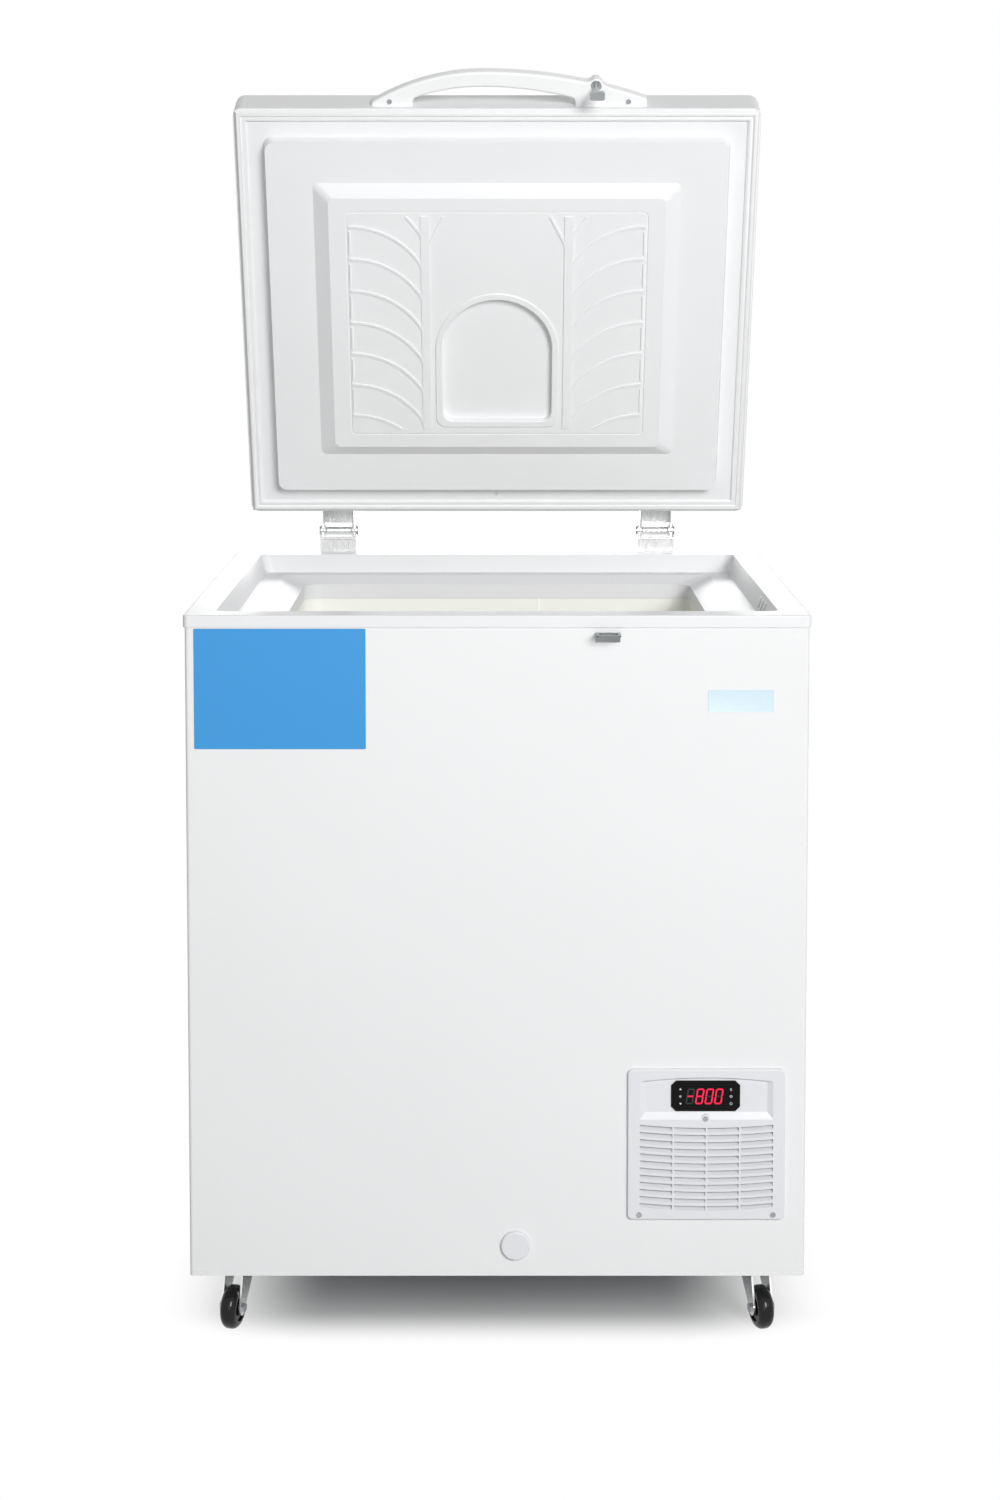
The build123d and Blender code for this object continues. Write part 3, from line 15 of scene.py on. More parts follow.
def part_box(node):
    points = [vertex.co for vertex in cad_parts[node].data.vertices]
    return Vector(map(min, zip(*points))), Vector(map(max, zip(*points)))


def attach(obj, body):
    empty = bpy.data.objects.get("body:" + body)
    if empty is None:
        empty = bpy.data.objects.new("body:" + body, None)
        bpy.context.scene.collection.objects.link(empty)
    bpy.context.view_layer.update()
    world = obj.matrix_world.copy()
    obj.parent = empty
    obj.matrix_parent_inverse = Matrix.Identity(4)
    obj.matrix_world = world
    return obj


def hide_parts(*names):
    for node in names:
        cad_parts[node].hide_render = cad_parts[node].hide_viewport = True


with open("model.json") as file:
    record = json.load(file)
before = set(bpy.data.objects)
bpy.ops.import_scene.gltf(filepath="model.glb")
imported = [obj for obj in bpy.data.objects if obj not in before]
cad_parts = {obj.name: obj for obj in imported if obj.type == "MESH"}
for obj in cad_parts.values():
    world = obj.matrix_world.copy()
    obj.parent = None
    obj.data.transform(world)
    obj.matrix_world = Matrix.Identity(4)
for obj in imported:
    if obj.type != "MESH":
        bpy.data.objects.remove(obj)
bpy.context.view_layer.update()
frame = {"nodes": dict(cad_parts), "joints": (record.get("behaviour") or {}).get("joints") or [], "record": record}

bl_info = {
    "name": "Chest freezer looks",
    "version": (1, 0, 0),
    "blender": (4, 5, 0),
    "location": "3D View > Sidebar > Freezer",
    "description": "Finishes, label, display, seals and stage of an open chest freezer",
    "category": "Object",
}

HINGE = next(joint for joint in frame["joints"] if joint["name"] == "lid_hinge")
HINGE_PLACE = Vector(HINGE["pos_m"])
LID_OPEN = math.radians(HINGE["range_deg"][0])
LID_TURN = (Matrix.Translation(HINGE_PLACE) @ Matrix.Rotation(LID_OPEN, 4, "X")
            @ Matrix.Translation(-HINGE_PLACE))

# How far a thin piece reaches into what carries it, and how near two points are made one
SKIN = 0.00005
WELD = 0.000001

# The thickness of the liner's sheet, and the rim's inner wall from the outer edge in and down
LINER_WALL = 0.002
RIM_WALL_TOP = 0.034
RIM_WALL_FOOT = 0.043
RIM_WALL_DROP = 0.024


def closed_box(node):
    """The lowest and highest corner of a lid's node, as it lies with the lid closed."""
    back = LID_TURN.inverted()
    points = [back @ vertex.co for vertex in frame["nodes"][node].data.vertices]
    low = Vector(min(point[axis] for point in points) for axis in range(3))
    high = Vector(max(point[axis] for point in points) for axis in range(3))
    return low, high


# Settings

def length(name, description, default):
    """A length that a user may change."""
    return FloatProperty(name=name, description=description, default=default, min=0.0,
                         unit="LENGTH", precision=5)


def colour(name, description, default):
    """A colour that a user may change."""
    return FloatVectorProperty(name=name, description=description, default=default,
                               size=3, min=0.0, max=1.0, subtype="COLOR")


def power(name, description, default):
    """A lamp's power in watts, which a user may change."""
    return FloatProperty(name=name, description=description, default=default, min=0.0, unit="POWER")


class FinishSettings(bpy.types.PropertyGroup):
    """Colours of the freezer's finishes."""

    enamel: colour("Enamel", "Baked white paint of the cabinet and the lid", (0.785, 0.79, 0.795))
    moulding: colour("Moulding", "White plastic of the lid's inner face", (0.86, 0.865, 0.875))
    # The rim's white is the lid moulding's plastic made darker as painted shade, because the rim's upward faces
    # catch more light
    rim: colour("Rim", "White plastic of the rim round the well", (0.77, 0.775, 0.785))
    panel: colour("Panel", "White plastic of the front vent panel", (0.72, 0.73, 0.75))
    handle: colour("Handle", "White plastic of the lid's handle", (0.92, 0.925, 0.93))
    liner: colour("Liner", "Cream coating of the storage well", (0.93, 0.935, 0.87))
    seal: colour("Seal", "Pale vinyl of the lid's seal", (0.88, 0.885, 0.89))
    foam: colour("Foam", "Insulation foam between the skins", (0.78, 0.66, 0.38))
    copper: colour("Copper", "Refrigerant pipes and drier", (0.80, 0.42, 0.26))


class LabelSettings(bpy.types.PropertyGroup):
    """The blank blue label and the blank pale badge on the front."""

    label_left: FloatProperty(name="Label left", description="The label's left edge in X",
                              default=-0.3478, unit="LENGTH", precision=5)
    label_right: FloatProperty(name="Label right", description="The label's right edge in X",
                               default=-0.1506, unit="LENGTH", precision=5)
    label_low: length("Label low", "Height of the label's lower edge", 0.6959)
    label_top: length("Label top", "Height of the label's upper edge", 0.8353)
    label_depth: length("Label thickness", "Thickness of the label's film", 0.00025)
    label_corner: length("Label corner", "Radius of the label's corners", 0.0012)
    label_colour: colour("Label colour", "Printed blue of the label", (0.034, 0.285, 0.64))
    badge_left: length("Badge left", "The badge's left edge in X", 0.2421)
    badge_right: length("Badge right", "The badge's right edge in X", 0.3176)
    badge_low: length("Badge low", "Height of the badge's lower edge", 0.7389)
    badge_top: length("Badge top", "Height of the badge's upper edge", 0.7645)
    badge_depth: length("Badge thickness", "Thickness of the badge's plate", 0.0006)
    badge_frame: length("Badge frame", "Width of the badge's raised edge", 0.0009)
    badge_colour: colour("Badge colour", "Very pale blue of the badge", (0.62, 0.76, 0.84))


class DisplaySettings(bpy.types.PropertyGroup):
    """The controller's numbers and the marks on its keys."""

    digit_width: length("Digit width", "Width of a digit between its bars' middles", 0.0072)
    digit_height: length("Digit height", "Height of a digit between its bars' middles", 0.0168)
    digit_pitch: length("Digit pitch", "Distance from one digit to the next", 0.0110)
    bar_width: length("Bar width", "Width of one lit bar", 0.0017)
    bar_gap: length("Bar gap", "Gap between the ends of two bars", 0.0003)
    bar_depth: length("Bar depth", "Thickness of a bar", 0.0001)
    slant: FloatProperty(name="Slant", default=0.15, min=0.0, max=0.5,
                         description="How far the digits lean to the right, as a share of height")
    glow: FloatProperty(name="Glow", description="Strength of the lit bars", default=1.0, min=0.0)
    lit: colour("Lit", "Colour of the lit bars", (1.0, 0.0, 0.06))
    unlit: colour("Unlit", "Colour of the bars that aren't lit", (0.006, 0.008, 0.007))
    mark: colour("Mark", "Colour of the keys' printed marks", (0.72, 0.74, 0.76))
    mark_size: length("Mark size", "Radius of a key's printed mark", 0.0016)


class SealSettings(bpy.types.PropertyGroup):
    """The lid's seal, the liner's seam and the small fittings round the well."""

    seal_width: length("Seal width", "Width of the lid's seal", 0.015)
    seam_x: length("Seam place", "Place of the liner's seam in X", 0.0553)
    seam_width: length("Seam width", "Width of the liner's seam", 0.0022)
    seam_depth: length("Seam depth", "How far the liner's seam stands proud", 0.0005)
    vent_radius: length("Vent radius", "Radius of the small vent plug in the lid's flange", 0.0022)
    vent_inset: length("Vent inset", "Distance of the vent plug from the lid's hinge side", 0.027)
    pocket_front: FloatProperty(name="Pocket front", description="The front end in Y of the rim's ribs",
                                default=-0.185, unit="LENGTH", precision=5)
    pocket_length: length("Pocket length", "Length of the rim's ribbed grip", 0.075)
    pocket_proud: length("Pocket proud", "How far the rim's ribs stand proud", 0.0016)
    rib_count: IntProperty(name="Rib count", description="Number of ribs in the rim's grip", default=3, min=1)
    rib_height: length("Rib height", "Height of the rim's ribs", 0.013)


class StageSettings(bpy.types.PropertyGroup):
    """The floor, the lamps and the camera."""

    floor_radius: length("Floor radius", "Radius of the floor", 9.0)
    # The floor's grey is painted shade: it darkens the floor under and round the cabinet to deepen the shadow
    # there, and it is also the share of light the floor throws back
    floor_painted_shade: colour("Floor colour", "Colour of the floor in the cabinet's shade", (0.5, 0.5, 0.5))
    shadow_reach: FloatVectorProperty(name="Shadow reach", size=2, default=(0.20, 0.23), unit="LENGTH",
                                      description="How far from the middle the floor keeps its full shadow")
    shadow_fade: FloatVectorProperty(name="Shadow fade", size=2, default=(0.21, 0.105), min=0.001,
                                     unit="LENGTH", description="Width of the fade from there to white")
    key_power: power("Key power", "Power of the main lamp", 186.0)
    fill_power: power("Fill power", "Power of the lamp in front", 13.0)
    top_power: power("Top power", "Power of the lamp overhead", 3.5)
    back_power: power("Back power", "Power of the lamp behind", 95.0)
    air_strength: FloatProperty(name="Air strength", description="Strength of the soft light from all round",
                                default=0.2, min=0.0)
    camera_place: FloatVectorProperty(name="Camera place", description="Where the camera stands", size=3,
                                      default=(-0.0008, -3.11898, 1.25695), subtype="TRANSLATION",
                                      unit="LENGTH")
    camera_pitch: FloatProperty(name="Camera pitch", description="How far the camera looks down",
                                default=math.radians(4.0), subtype="ANGLE")
    camera_lens: FloatProperty(name="Camera lens", description="Focal length in millimetres", default=59.26,
                               unit="CAMERA")
    camera_shift: FloatVectorProperty(name="Camera shift", description="Lens shift across and up", size=2,
                                      default=(0.0024, -0.212))


# Shader nodes

class Wire:
    """An output socket in a material's tree. Sums and products of wires and numbers add Math nodes."""

    def __init__(self, tree, output=None):
        self.tree = tree
        self.output = output

    def add(self, kind, settings=None, inputs=None):
        """Adds a node, sets it, fills its inputs with values or wires, and gives its outputs."""
        node = self.tree.nodes.new("ShaderNode" + kind)
        for name, value in (settings or {}).items():
            setattr(node, name, value)
        sockets = {socket.identifier: socket for socket in node.inputs}
        for name, value in (inputs or {}).items():
            if isinstance(value, Wire):
                self.tree.links.new(value.output, sockets[name])
            else:
                sockets[name].default_value = value
        return {output.identifier: Wire(self.tree, output) for output in node.outputs}

    def maths(self, operation, first, second):
        """A Math node on two numbers or wires."""
        inputs = {"Value": first, "Value_001": second}
        return self.add("Math", {"operation": operation}, inputs)["Value"]

    def __add__(self, other):
        return self.maths("ADD", self, other)

    def __mul__(self, other):
        return self.maths("MULTIPLY", self, other)

    __radd__ = __add__
    __rmul__ = __mul__

    def spread(self, low, high):
        """This value, from 0 to 1, spread between two others."""
        return self * (high - low) + low

    def tint(self, first, second):
        """A colour that goes from the first to the second as this value goes from 0 to 1."""
        inputs = {"Factor_Float": self, "A_Color": full(first), "B_Color": full(second)}
        return self.add("Mix", {"data_type": "RGBA"}, inputs)["Result_Color"]

    def stretched(self, across, along, up):
        """These coordinates with each axis scaled."""
        return self.add("Mapping", None, {"Vector": self, "Scale": (across, along, up)})["Vector"]

    def clouds(self, scale, detail=2.0):
        """Soft noise over these coordinates."""
        return self.add("TexNoise", None, {"Vector": self, "Scale": scale, "Detail": detail})["Fac"]

    def cells(self, scale):
        """The outputs of cells round scattered points over these coordinates."""
        return self.add("TexVoronoi", None, {"Vector": self, "Scale": scale})

    def bump(self, strength, distance):
        """A normal that this height raises."""
        inputs = {"Height": self, "Strength": strength, "Distance": distance}
        return self.add("Bump", None, inputs)["Normal"]


def full(rgb):
    """A colour with its alpha."""
    return (*rgb, 1.0)


def scaled(rgb, share):
    """A colour made darker or lighter."""
    return tuple(min(1.0, part * share) for part in rgb)


def start_finish(name):
    """A new material with an empty tree, and its Object coordinates."""
    material = bpy.data.materials.new(name)
    material.use_nodes = True
    material.node_tree.nodes.clear()
    return material, Wire(material.node_tree).add("TexCoord")["Object"]


def end_finish(material, place, inputs):
    """Closes a material with a Principled shader."""
    surface = place.add("BsdfPrincipled", None, inputs)["BSDF"]
    place.add("OutputMaterial", None, {"Surface": surface})
    return material


# Finishes

def paint(name, rgb, gloss=0.3):
    """Baked paint over sheet steel, with a faint orange peel and uneven gloss."""
    material, place = start_finish(name)
    drift = place.clouds(3.5)
    skin = place.clouds(420.0, 3.0)
    return end_finish(material, place, {
        "Base Color": drift.tint(scaled(rgb, 0.985), scaled(rgb, 1.01)),
        "Roughness": place.clouds(40.0).spread(gloss - 0.03, gloss + 0.05),
        "Normal": skin.bump(0.12, 0.0002), "IOR": 1.5})


def moulding(name, rgb, gloss=0.42, ior=1.46):
    """Moulded plastic with a fine matt grain and slow flow marks."""
    material, place = start_finish(name)
    flow = place.clouds(9.0, 3.0)
    skin = place.clouds(1400.0) * 0.7 + place.clouds(60.0) * 0.3
    return end_finish(material, place, {
        "Base Color": flow.tint(scaled(rgb, 0.98), scaled(rgb, 1.01)),
        "Roughness": flow.spread(gloss - 0.04, gloss + 0.06),
        "Normal": skin.bump(0.15, 0.00015), "IOR": ior})


def coated_sheet(name, rgb):
    """Cream coated sheet of the storage well, with faint level scuffs."""
    material, place = start_finish(name)
    drift = place.clouds(5.0, 4.0)
    scuffs = place.stretched(18.0, 18.0, 180.0).clouds(6.0, 4.0)
    return end_finish(material, place, {
        "Base Color": drift.tint(scaled(rgb, 0.97), scaled(rgb, 1.02)),
        "Roughness": scuffs.spread(0.3, 0.5),
        "Normal": scuffs.bump(0.06, 0.0002), "IOR": 1.5})


def spangled_zinc(name, rgb):
    """Galvanised sheet with its crystals."""
    material, place = start_finish(name)
    grey = place.add("RGBToBW", None, {"Color": place.cells(110.0)["Color"]})["Val"]
    return end_finish(material, place, {
        "Base Color": grey.tint(scaled(rgb, 0.82), scaled(rgb, 1.1)), "Metallic": 1.0,
        "Roughness": grey.spread(0.32, 0.52), "Normal": grey.bump(0.08, 0.0002)})


def plated_steel(name, rgb, gloss, brush=1.0):
    """Bright zinc or nickel plate, blotched and faintly drawn one way."""
    material, place = start_finish(name)
    drawn = place.stretched(900.0, 60.0, 60.0).clouds(1.0, 3.0)
    blotch = place.clouds(28.0)
    return end_finish(material, place, {
        "Base Color": blotch.tint(scaled(rgb, 0.62), scaled(rgb, 1.06)), "Metallic": 1.0,
        "Roughness": (drawn * 0.6 + blotch * 0.4).spread(gloss - 0.05, gloss + 0.12),
        "Normal": drawn.bump(0.08 * brush, 0.0001)})


def vinyl(name, rgb):
    """Soft pale vinyl of the lid's seal, with faint lines and a little dust."""
    material, place = start_finish(name)
    dust = place.clouds(30.0, 4.0)
    lines = place.stretched(1.0, 1.0, 8.0).clouds(180.0)
    return end_finish(material, place, {
        "Base Color": dust.tint(scaled(rgb, 0.95), scaled(rgb, 1.01)),
        "Roughness": dust.spread(0.42, 0.58), "Normal": lines.bump(0.08, 0.0002), "IOR": 1.45})


def rubber(name, rgb):
    """Black rubber with a dull bloom."""
    material, place = start_finish(name)
    bloom = place.clouds(60.0, 4.0)
    return end_finish(material, place, {
        "Base Color": bloom.tint(rgb, scaled(rgb, 1.8)), "Roughness": bloom.spread(0.6, 0.8),
        "Normal": place.clouds(900.0).bump(0.2, 0.0002)})


def glossy_black(name, rgb):
    """Polished black nylon of the wheels, with a faint ripple and dull scuffs."""
    material, place = start_finish(name)
    scuffs = place.clouds(70.0, 4.0)
    return end_finish(material, place, {
        "Base Color": scuffs.tint(rgb, scaled(rgb, 1.6)),
        "Roughness": scuffs.spread(0.10, 0.28),
        "Normal": place.clouds(160.0).bump(0.06, 0.0003), "IOR": 1.34})


def smoked_glass(name):
    """The display's dark smoked window."""
    material, place = start_finish(name)
    smear = place.clouds(60.0, 3.0)
    return end_finish(material, place, {
        "Base Color": smear.tint((0.003, 0.003, 0.004), (0.006, 0.006, 0.007)),
        "Roughness": smear.spread(0.06, 0.16), "IOR": 1.2,
        "Normal": smear.bump(0.02, 0.0001)})


def foam(name, rgb):
    """Closed-cell insulation foam."""
    material, place = start_finish(name)
    cells = place.cells(700.0)["Distance"]
    return end_finish(material, place, {
        "Base Color": cells.tint(rgb, scaled(rgb, 0.75)), "Roughness": 0.9,
        "Normal": cells.bump(0.5, 0.0006)})


def finned_metal(name, rgb):
    """Dull metal of the fins and the motor, with patches of dust."""
    material, place = start_finish(name)
    dust = place.clouds(45.0, 4.0)
    return end_finish(material, place, {
        "Base Color": dust.tint(scaled(rgb, 0.7), rgb), "Metallic": 0.9,
        "Roughness": dust.spread(0.35, 0.6), "Normal": place.clouds(500.0).bump(0.1, 0.0002)})


def drawn_copper(name, rgb):
    """Copper pipe with the brown bloom of handling."""
    material, place = start_finish(name)
    bloom = place.clouds(35.0, 4.0)
    return end_finish(material, place, {
        "Base Color": bloom.tint(scaled(rgb, 0.55), rgb), "Metallic": 1.0,
        "Roughness": bloom.spread(0.25, 0.5), "Normal": place.clouds(300.0).bump(0.08, 0.0002)})


def film(name, rgb):
    """Printed film of a label, an even colour with a fine grain."""
    material, place = start_finish(name)
    ink = place.clouds(260.0)
    return end_finish(material, place, {
        "Base Color": ink.tint(scaled(rgb, 0.97), scaled(rgb, 1.03)),
        "Roughness": ink.spread(0.36, 0.46), "Normal": ink.bump(0.05, 0.0001), "IOR": 1.46})


def glowing(name, rgb, strength):
    """A lit bar of the display, faintly uneven."""
    material, place = start_finish(name)
    grain = place.clouds(900.0)
    return end_finish(material, place, {
        "Base Color": full(scaled(rgb, 0.3)), "Roughness": 0.3,
        "Emission Color": grain.tint(scaled(rgb, 0.9), rgb), "Emission Strength": strength})


def unlit_bar(name, rgb):
    """A bar of the display that isn't lit."""
    material, place = start_finish(name)
    grain = place.clouds(900.0)
    return end_finish(material, place, {
        "Base Color": grain.tint(rgb, scaled(rgb, 1.5)), "Roughness": 0.25})


# Mesh helpers

def finish_piece(name, bm, body, material, smooth_deg=32.0):
    """Turns a bmesh into a finished piece that rides on a body."""
    bmesh.ops.remove_doubles(bm, verts=bm.verts, dist=WELD)
    bmesh.ops.recalc_face_normals(bm, faces=bm.faces)
    mesh = bpy.data.meshes.new(name)
    bm.to_mesh(mesh)
    bm.free()
    mesh.materials.append(material)
    mesh.shade_smooth()
    mesh.set_sharp_from_angle(angle=math.radians(smooth_deg))
    piece = bpy.data.objects.new(name, mesh)
    bpy.context.scene.collection.objects.link(piece)
    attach(piece, body)
    return piece


def verts_of(made):
    """The vertices in what a bmesh operator made."""
    return [item for item in made if isinstance(item, bmesh.types.BMVert)]


def across_front(made):
    """The edges of new vertices that run from front to back."""
    edges = {edge for vert in made for edge in vert.link_edges}
    return [edge for edge in edges if abs(edge.verts[0].co.y - edge.verts[1].co.y) > WELD]


def bevel(bm, edges, offset, segments):
    """Bevels edges, and gives what was made."""
    return bmesh.ops.bevel(bm, geom=edges, offset=offset, segments=segments, profile=0.5,
                           affect="EDGES", material=-1)


def plate(bm, low, high, corner, round_edge=0.0):
    """A plate between two corners, rounded seen from the front, and eased round its face."""
    made = bmesh.ops.create_cube(bm, size=1.0)["verts"]
    bmesh.ops.scale(bm, vec=high - low, verts=made)
    bmesh.ops.translate(bm, vec=(low + high) / 2, verts=made)
    if corner:
        bevel(bm, across_front(made), corner, 4)
    if round_edge:
        front = [edge for edge in bm.edges if all(abs(vert.co.y - low.y) < WELD for vert in edge.verts)]
        bevel(bm, front, round_edge, 2)


def mitred_ring(bm, profile, half_x, half_y):
    """A closed profile carried round a rectangle with mitred corners, centred on the Z axis.

    The profile's points are how far in from the edge, and how high.
    """
    start = [bm.verts.new((inset - half_x, inset - half_y, height)) for inset, height in profile]
    loop = [bm.edges.new(pair) for pair in zip(start, start[1:] + start[:1])]
    for mirror in ((-1, 1, 1), (1, -1, 1), (-1, 1, 1), (1, -1, 1)):
        made = bmesh.ops.extrude_edge_only(bm, edges=loop)["geom"]
        ends = set(verts_of(made))
        loop = [edge for edge in made if isinstance(edge, bmesh.types.BMEdge) and set(edge.verts) <= ends]
        bmesh.ops.scale(bm, vec=mirror, verts=list(ends))
    bmesh.ops.remove_doubles(bm, verts=bm.verts, dist=WELD)


# The share of a bar's width that each bevel of its ends takes
BAR_POINT = 0.42


def bar(bm, length_x, depth, width_z, middle, turn=0.0):
    """A bar of a digit with pointed ends, seen from the front."""
    made = bmesh.ops.create_cube(bm, size=1.0)["verts"]
    bmesh.ops.scale(bm, vec=(length_x, depth, width_z), verts=made)
    ends = bevel(bm, across_front(made), width_z * BAR_POINT, 1)["verts"]
    whole = {vert for vert in made if vert.is_valid} | set(ends)
    place = Matrix.Translation(middle) @ Matrix.Rotation(turn, 4, "Y")
    bmesh.ops.transform(bm, matrix=place, verts=list(whole))


# Operators

# The materials by name, which the first operator below makes, and the nodes with one of their own
FINISH_OF_SLOT = {}
NODE_FINISHES = {"rim_collar": "rim_moulding", "lock_keeper": "keeper_chrome"}


def make_finishes(settings):
    """One material for each of the record's material slots, and two that only one node has."""
    return {
        "white_enamel": paint("white_enamel", settings.enamel),
        # The rim's copy of the moulding is darker than the lid's as painted shade
        "rim_moulding": moulding("rim_moulding", settings.rim),
        "cream_moulding": moulding("cream_moulding", settings.moulding),
        "liner_sheet": coated_sheet("liner_sheet", settings.liner),
        "insulation_foam": foam("insulation_foam", settings.foam),
        "galvanised_sheet": spangled_zinc("galvanised_sheet", (0.56, 0.58, 0.60)),
        "white_plastic": moulding("white_plastic", settings.panel, gloss=0.38),
        "handle_plastic": moulding("handle_plastic", settings.handle, gloss=0.36),
        "black_plastic": moulding("black_plastic", (0.003, 0.003, 0.003), gloss=0.34, ior=1.2),
        "display_glass": smoked_glass("display_glass"),
        "key_plastic": moulding("key_plastic", (0.004, 0.004, 0.004), gloss=0.34, ior=1.2),
        "zinc_steel": plated_steel("zinc_steel", (0.94, 0.945, 0.95), gloss=0.24),
        "screw_steel": plated_steel("screw_steel", (0.46, 0.47, 0.49), gloss=0.2),
        "lock_chrome": plated_steel("lock_chrome", (0.45, 0.47, 0.48), gloss=0.18, brush=0.5),
        "keeper_chrome": plated_steel("keeper_chrome", (0.17, 0.18, 0.185), gloss=0.18, brush=0.5),
        "gasket_rubber": vinyl("gasket_rubber", settings.seal),
        "mount_rubber": rubber("mount_rubber", (0.02, 0.02, 0.02)),
        "drain_hose": moulding("drain_hose", (0.70, 0.71, 0.70)),
        "compressor_black": paint("compressor_black", (0.012, 0.012, 0.013), gloss=0.35),
        "motor_steel": finned_metal("motor_steel", (0.55, 0.56, 0.58)),
        "condenser_metal": finned_metal("condenser_metal", (0.62, 0.63, 0.65)),
        "copper": drawn_copper("copper", settings.copper),
        "caster_black": glossy_black("caster_black", (0.004, 0.004, 0.004)),
    }


class FREEZER_OT_finish_nodes(bpy.types.Operator):
    """Gives every solid of the frame the finish of its material slot, or one of its own"""

    bl_idname = "freezer.finish_nodes"
    bl_label = "Finish the solids"

    def execute(self, context):
        FINISH_OF_SLOT.update(make_finishes(context.scene.freezer_finish))
        for part in frame["record"]["subparts"]:
            node = frame["nodes"][part["node"]]
            node.data.materials.clear()
            finish = NODE_FINISHES.get(part["node"], part["material_slot"])
            node.data.materials.append(FINISH_OF_SLOT[finish])
        return {"FINISHED"}


class FREEZER_OT_add_labels(bpy.types.Operator):
    """Adds the blank blue label and the blank pale badge to the cabinet's front"""

    bl_idname = "freezer.add_labels"
    bl_label = "Label and badge"

    def execute(self, context):
        sizes = context.scene.freezer_label
        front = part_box("cabinet_shell")[0].y
        bm = bmesh.new()
        plate(bm, Vector((sizes.label_left, front - sizes.label_depth, sizes.label_low)),
              Vector((sizes.label_right, front + SKIN, sizes.label_top)), sizes.label_corner)
        finish_piece("front_label", bm, "root", film("label_film", sizes.label_colour))
        bm = bmesh.new()
        low = Vector((sizes.badge_left, front - sizes.badge_depth, sizes.badge_low))
        high = Vector((sizes.badge_right, front + SKIN, sizes.badge_top))
        plate(bm, low, high, sizes.badge_frame)
        inner = min(bm.faces, key=lambda face: (face.calc_center_median().y, -face.calc_area()))
        bmesh.ops.inset_individual(bm, faces=[inner], thickness=sizes.badge_frame)
        bmesh.ops.translate(bm, vec=(0, sizes.badge_depth / 2, 0), verts=inner.verts)
        finish_piece("front_badge", bm, "root", film("badge_film", sizes.badge_colour))
        return {"FINISHED"}


# Each bar's side and rise from a digit's middle, in half digits, and whether it stands upright
DIGIT_BARS = {
    "top": (0, 1, False), "middle": (0, 0, False), "bottom": (0, -1, False),
    "left_high": (-1, 0.5, True), "right_high": (1, 0.5, True),
    "left_low": (-1, -0.5, True), "right_low": (1, -0.5, True),
}
# The bars that are lit in each place of -80.0
NOUGHT = set(DIGIT_BARS) - {"middle"}
READING = [{"middle"}, set(DIGIT_BARS), NOUGHT, NOUGHT]

# In digit pitches, how far the window's middle is from the first place, and the point from there
READING_MIDDLE = 1.62
POINT_PLACE = 1.42


class FREEZER_OT_add_display(bpy.types.Operator):
    """Adds the display's numbers, lit and unlit, on the controller's window"""

    bl_idname = "freezer.add_display"
    bl_label = "Display"

    def execute(self, context):
        sizes = context.scene.freezer_display
        low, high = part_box("display_window")
        middle = (low + high) / 2
        meshes = {True: bmesh.new(), False: bmesh.new()}
        half = sizes.digit_height / 2
        for index, lit in enumerate(READING):
            across = (index - READING_MIDDLE) * sizes.digit_pitch
            for name, (side, rise, upright) in DIGIT_BARS.items():
                reach = (half if upright else sizes.digit_width) - sizes.bar_gap
                place = Vector((across + side * sizes.digit_width / 2, 0, rise * half))
                bar(meshes[name in lit], reach, sizes.bar_depth, sizes.bar_width, place,
                    math.radians(90) if upright else 0.0)
        point = Vector((POINT_PLACE * sizes.digit_pitch, 0, -half))
        bar(meshes[True], sizes.bar_width, sizes.bar_depth, sizes.bar_width, point)
        lean = Matrix.Identity(4)
        lean[0][2] = sizes.slant
        place = Matrix.Translation((middle.x, low.y - sizes.bar_depth / 2, middle.z)) @ lean
        looks = {True: ("display_lit", glowing("display_lit", sizes.lit, sizes.glow)),
                 False: ("display_unlit", unlit_bar("display_unlit", sizes.unlit))}
        for lit, bm in meshes.items():
            bmesh.ops.transform(bm, matrix=place, verts=bm.verts)
            name, material = looks[lit]
            finish_piece(name, bm, "root", material)
        return {"FINISHED"}


def ring_mark(bm, radius, width):
    """A flat ring round the origin."""
    made = bmesh.ops.create_circle(bm, cap_ends=False, radius=radius, segments=24)["verts"]
    outer = list({edge for vert in made for edge in vert.link_edges})
    made = bmesh.ops.extrude_edge_only(bm, edges=outer)["geom"]
    bmesh.ops.scale(bm, vec=((radius - width) / radius,) * 2 + (1,), verts=verts_of(made))


def stroke(bm, length_z, width, turn, middle=(0, 0)):
    """A flat stroke, upright before it is turned."""
    made = bmesh.ops.create_grid(bm, x_segments=1, y_segments=1, size=0.5)["verts"]
    bmesh.ops.scale(bm, vec=(width, length_z, 1), verts=made)
    place = Matrix.Translation((*middle, 0)) @ Matrix.Rotation(turn, 4, "Z")
    bmesh.ops.transform(bm, matrix=place, verts=made)


def arrow_mark(bm, size, turn):
    """A flat triangle."""
    made = bmesh.ops.create_circle(bm, cap_ends=True, radius=size, segments=3)["verts"]
    bmesh.ops.rotate(bm, cent=(0, 0, 0), matrix=Matrix.Rotation(turn, 3, "Z"), verts=made)


def draw_mark(bm, kind, size):
    """One of the six printed marks, drawn flat round the origin."""
    if kind == "up":
        arrow_mark(bm, size, 0.0)
    elif kind == "down":
        arrow_mark(bm, size, math.pi)
    elif kind == "frost":
        for step in range(3):
            stroke(bm, 2 * size, size / 4, step * math.pi / 3)
    elif kind == "lamp":
        ring_mark(bm, size * 0.7, size / 4)
        stroke(bm, size * 0.6, size / 2, 0.0, (0, -size * 0.9))
    elif kind == "power":
        ring_mark(bm, size, size / 4)
        stroke(bm, size, size / 4, 0.0, (0, size * 0.6))
    else:
        ring_mark(bm, size, size / 4)
        stroke(bm, size, size / 4, math.pi / 2)


KEY_MARKS = {
    "key_left_top": "up", "key_left_middle": "frost", "key_left_bottom": "down",
    "key_right_top": "lamp", "key_right_middle": "set", "key_right_bottom": "power",
}


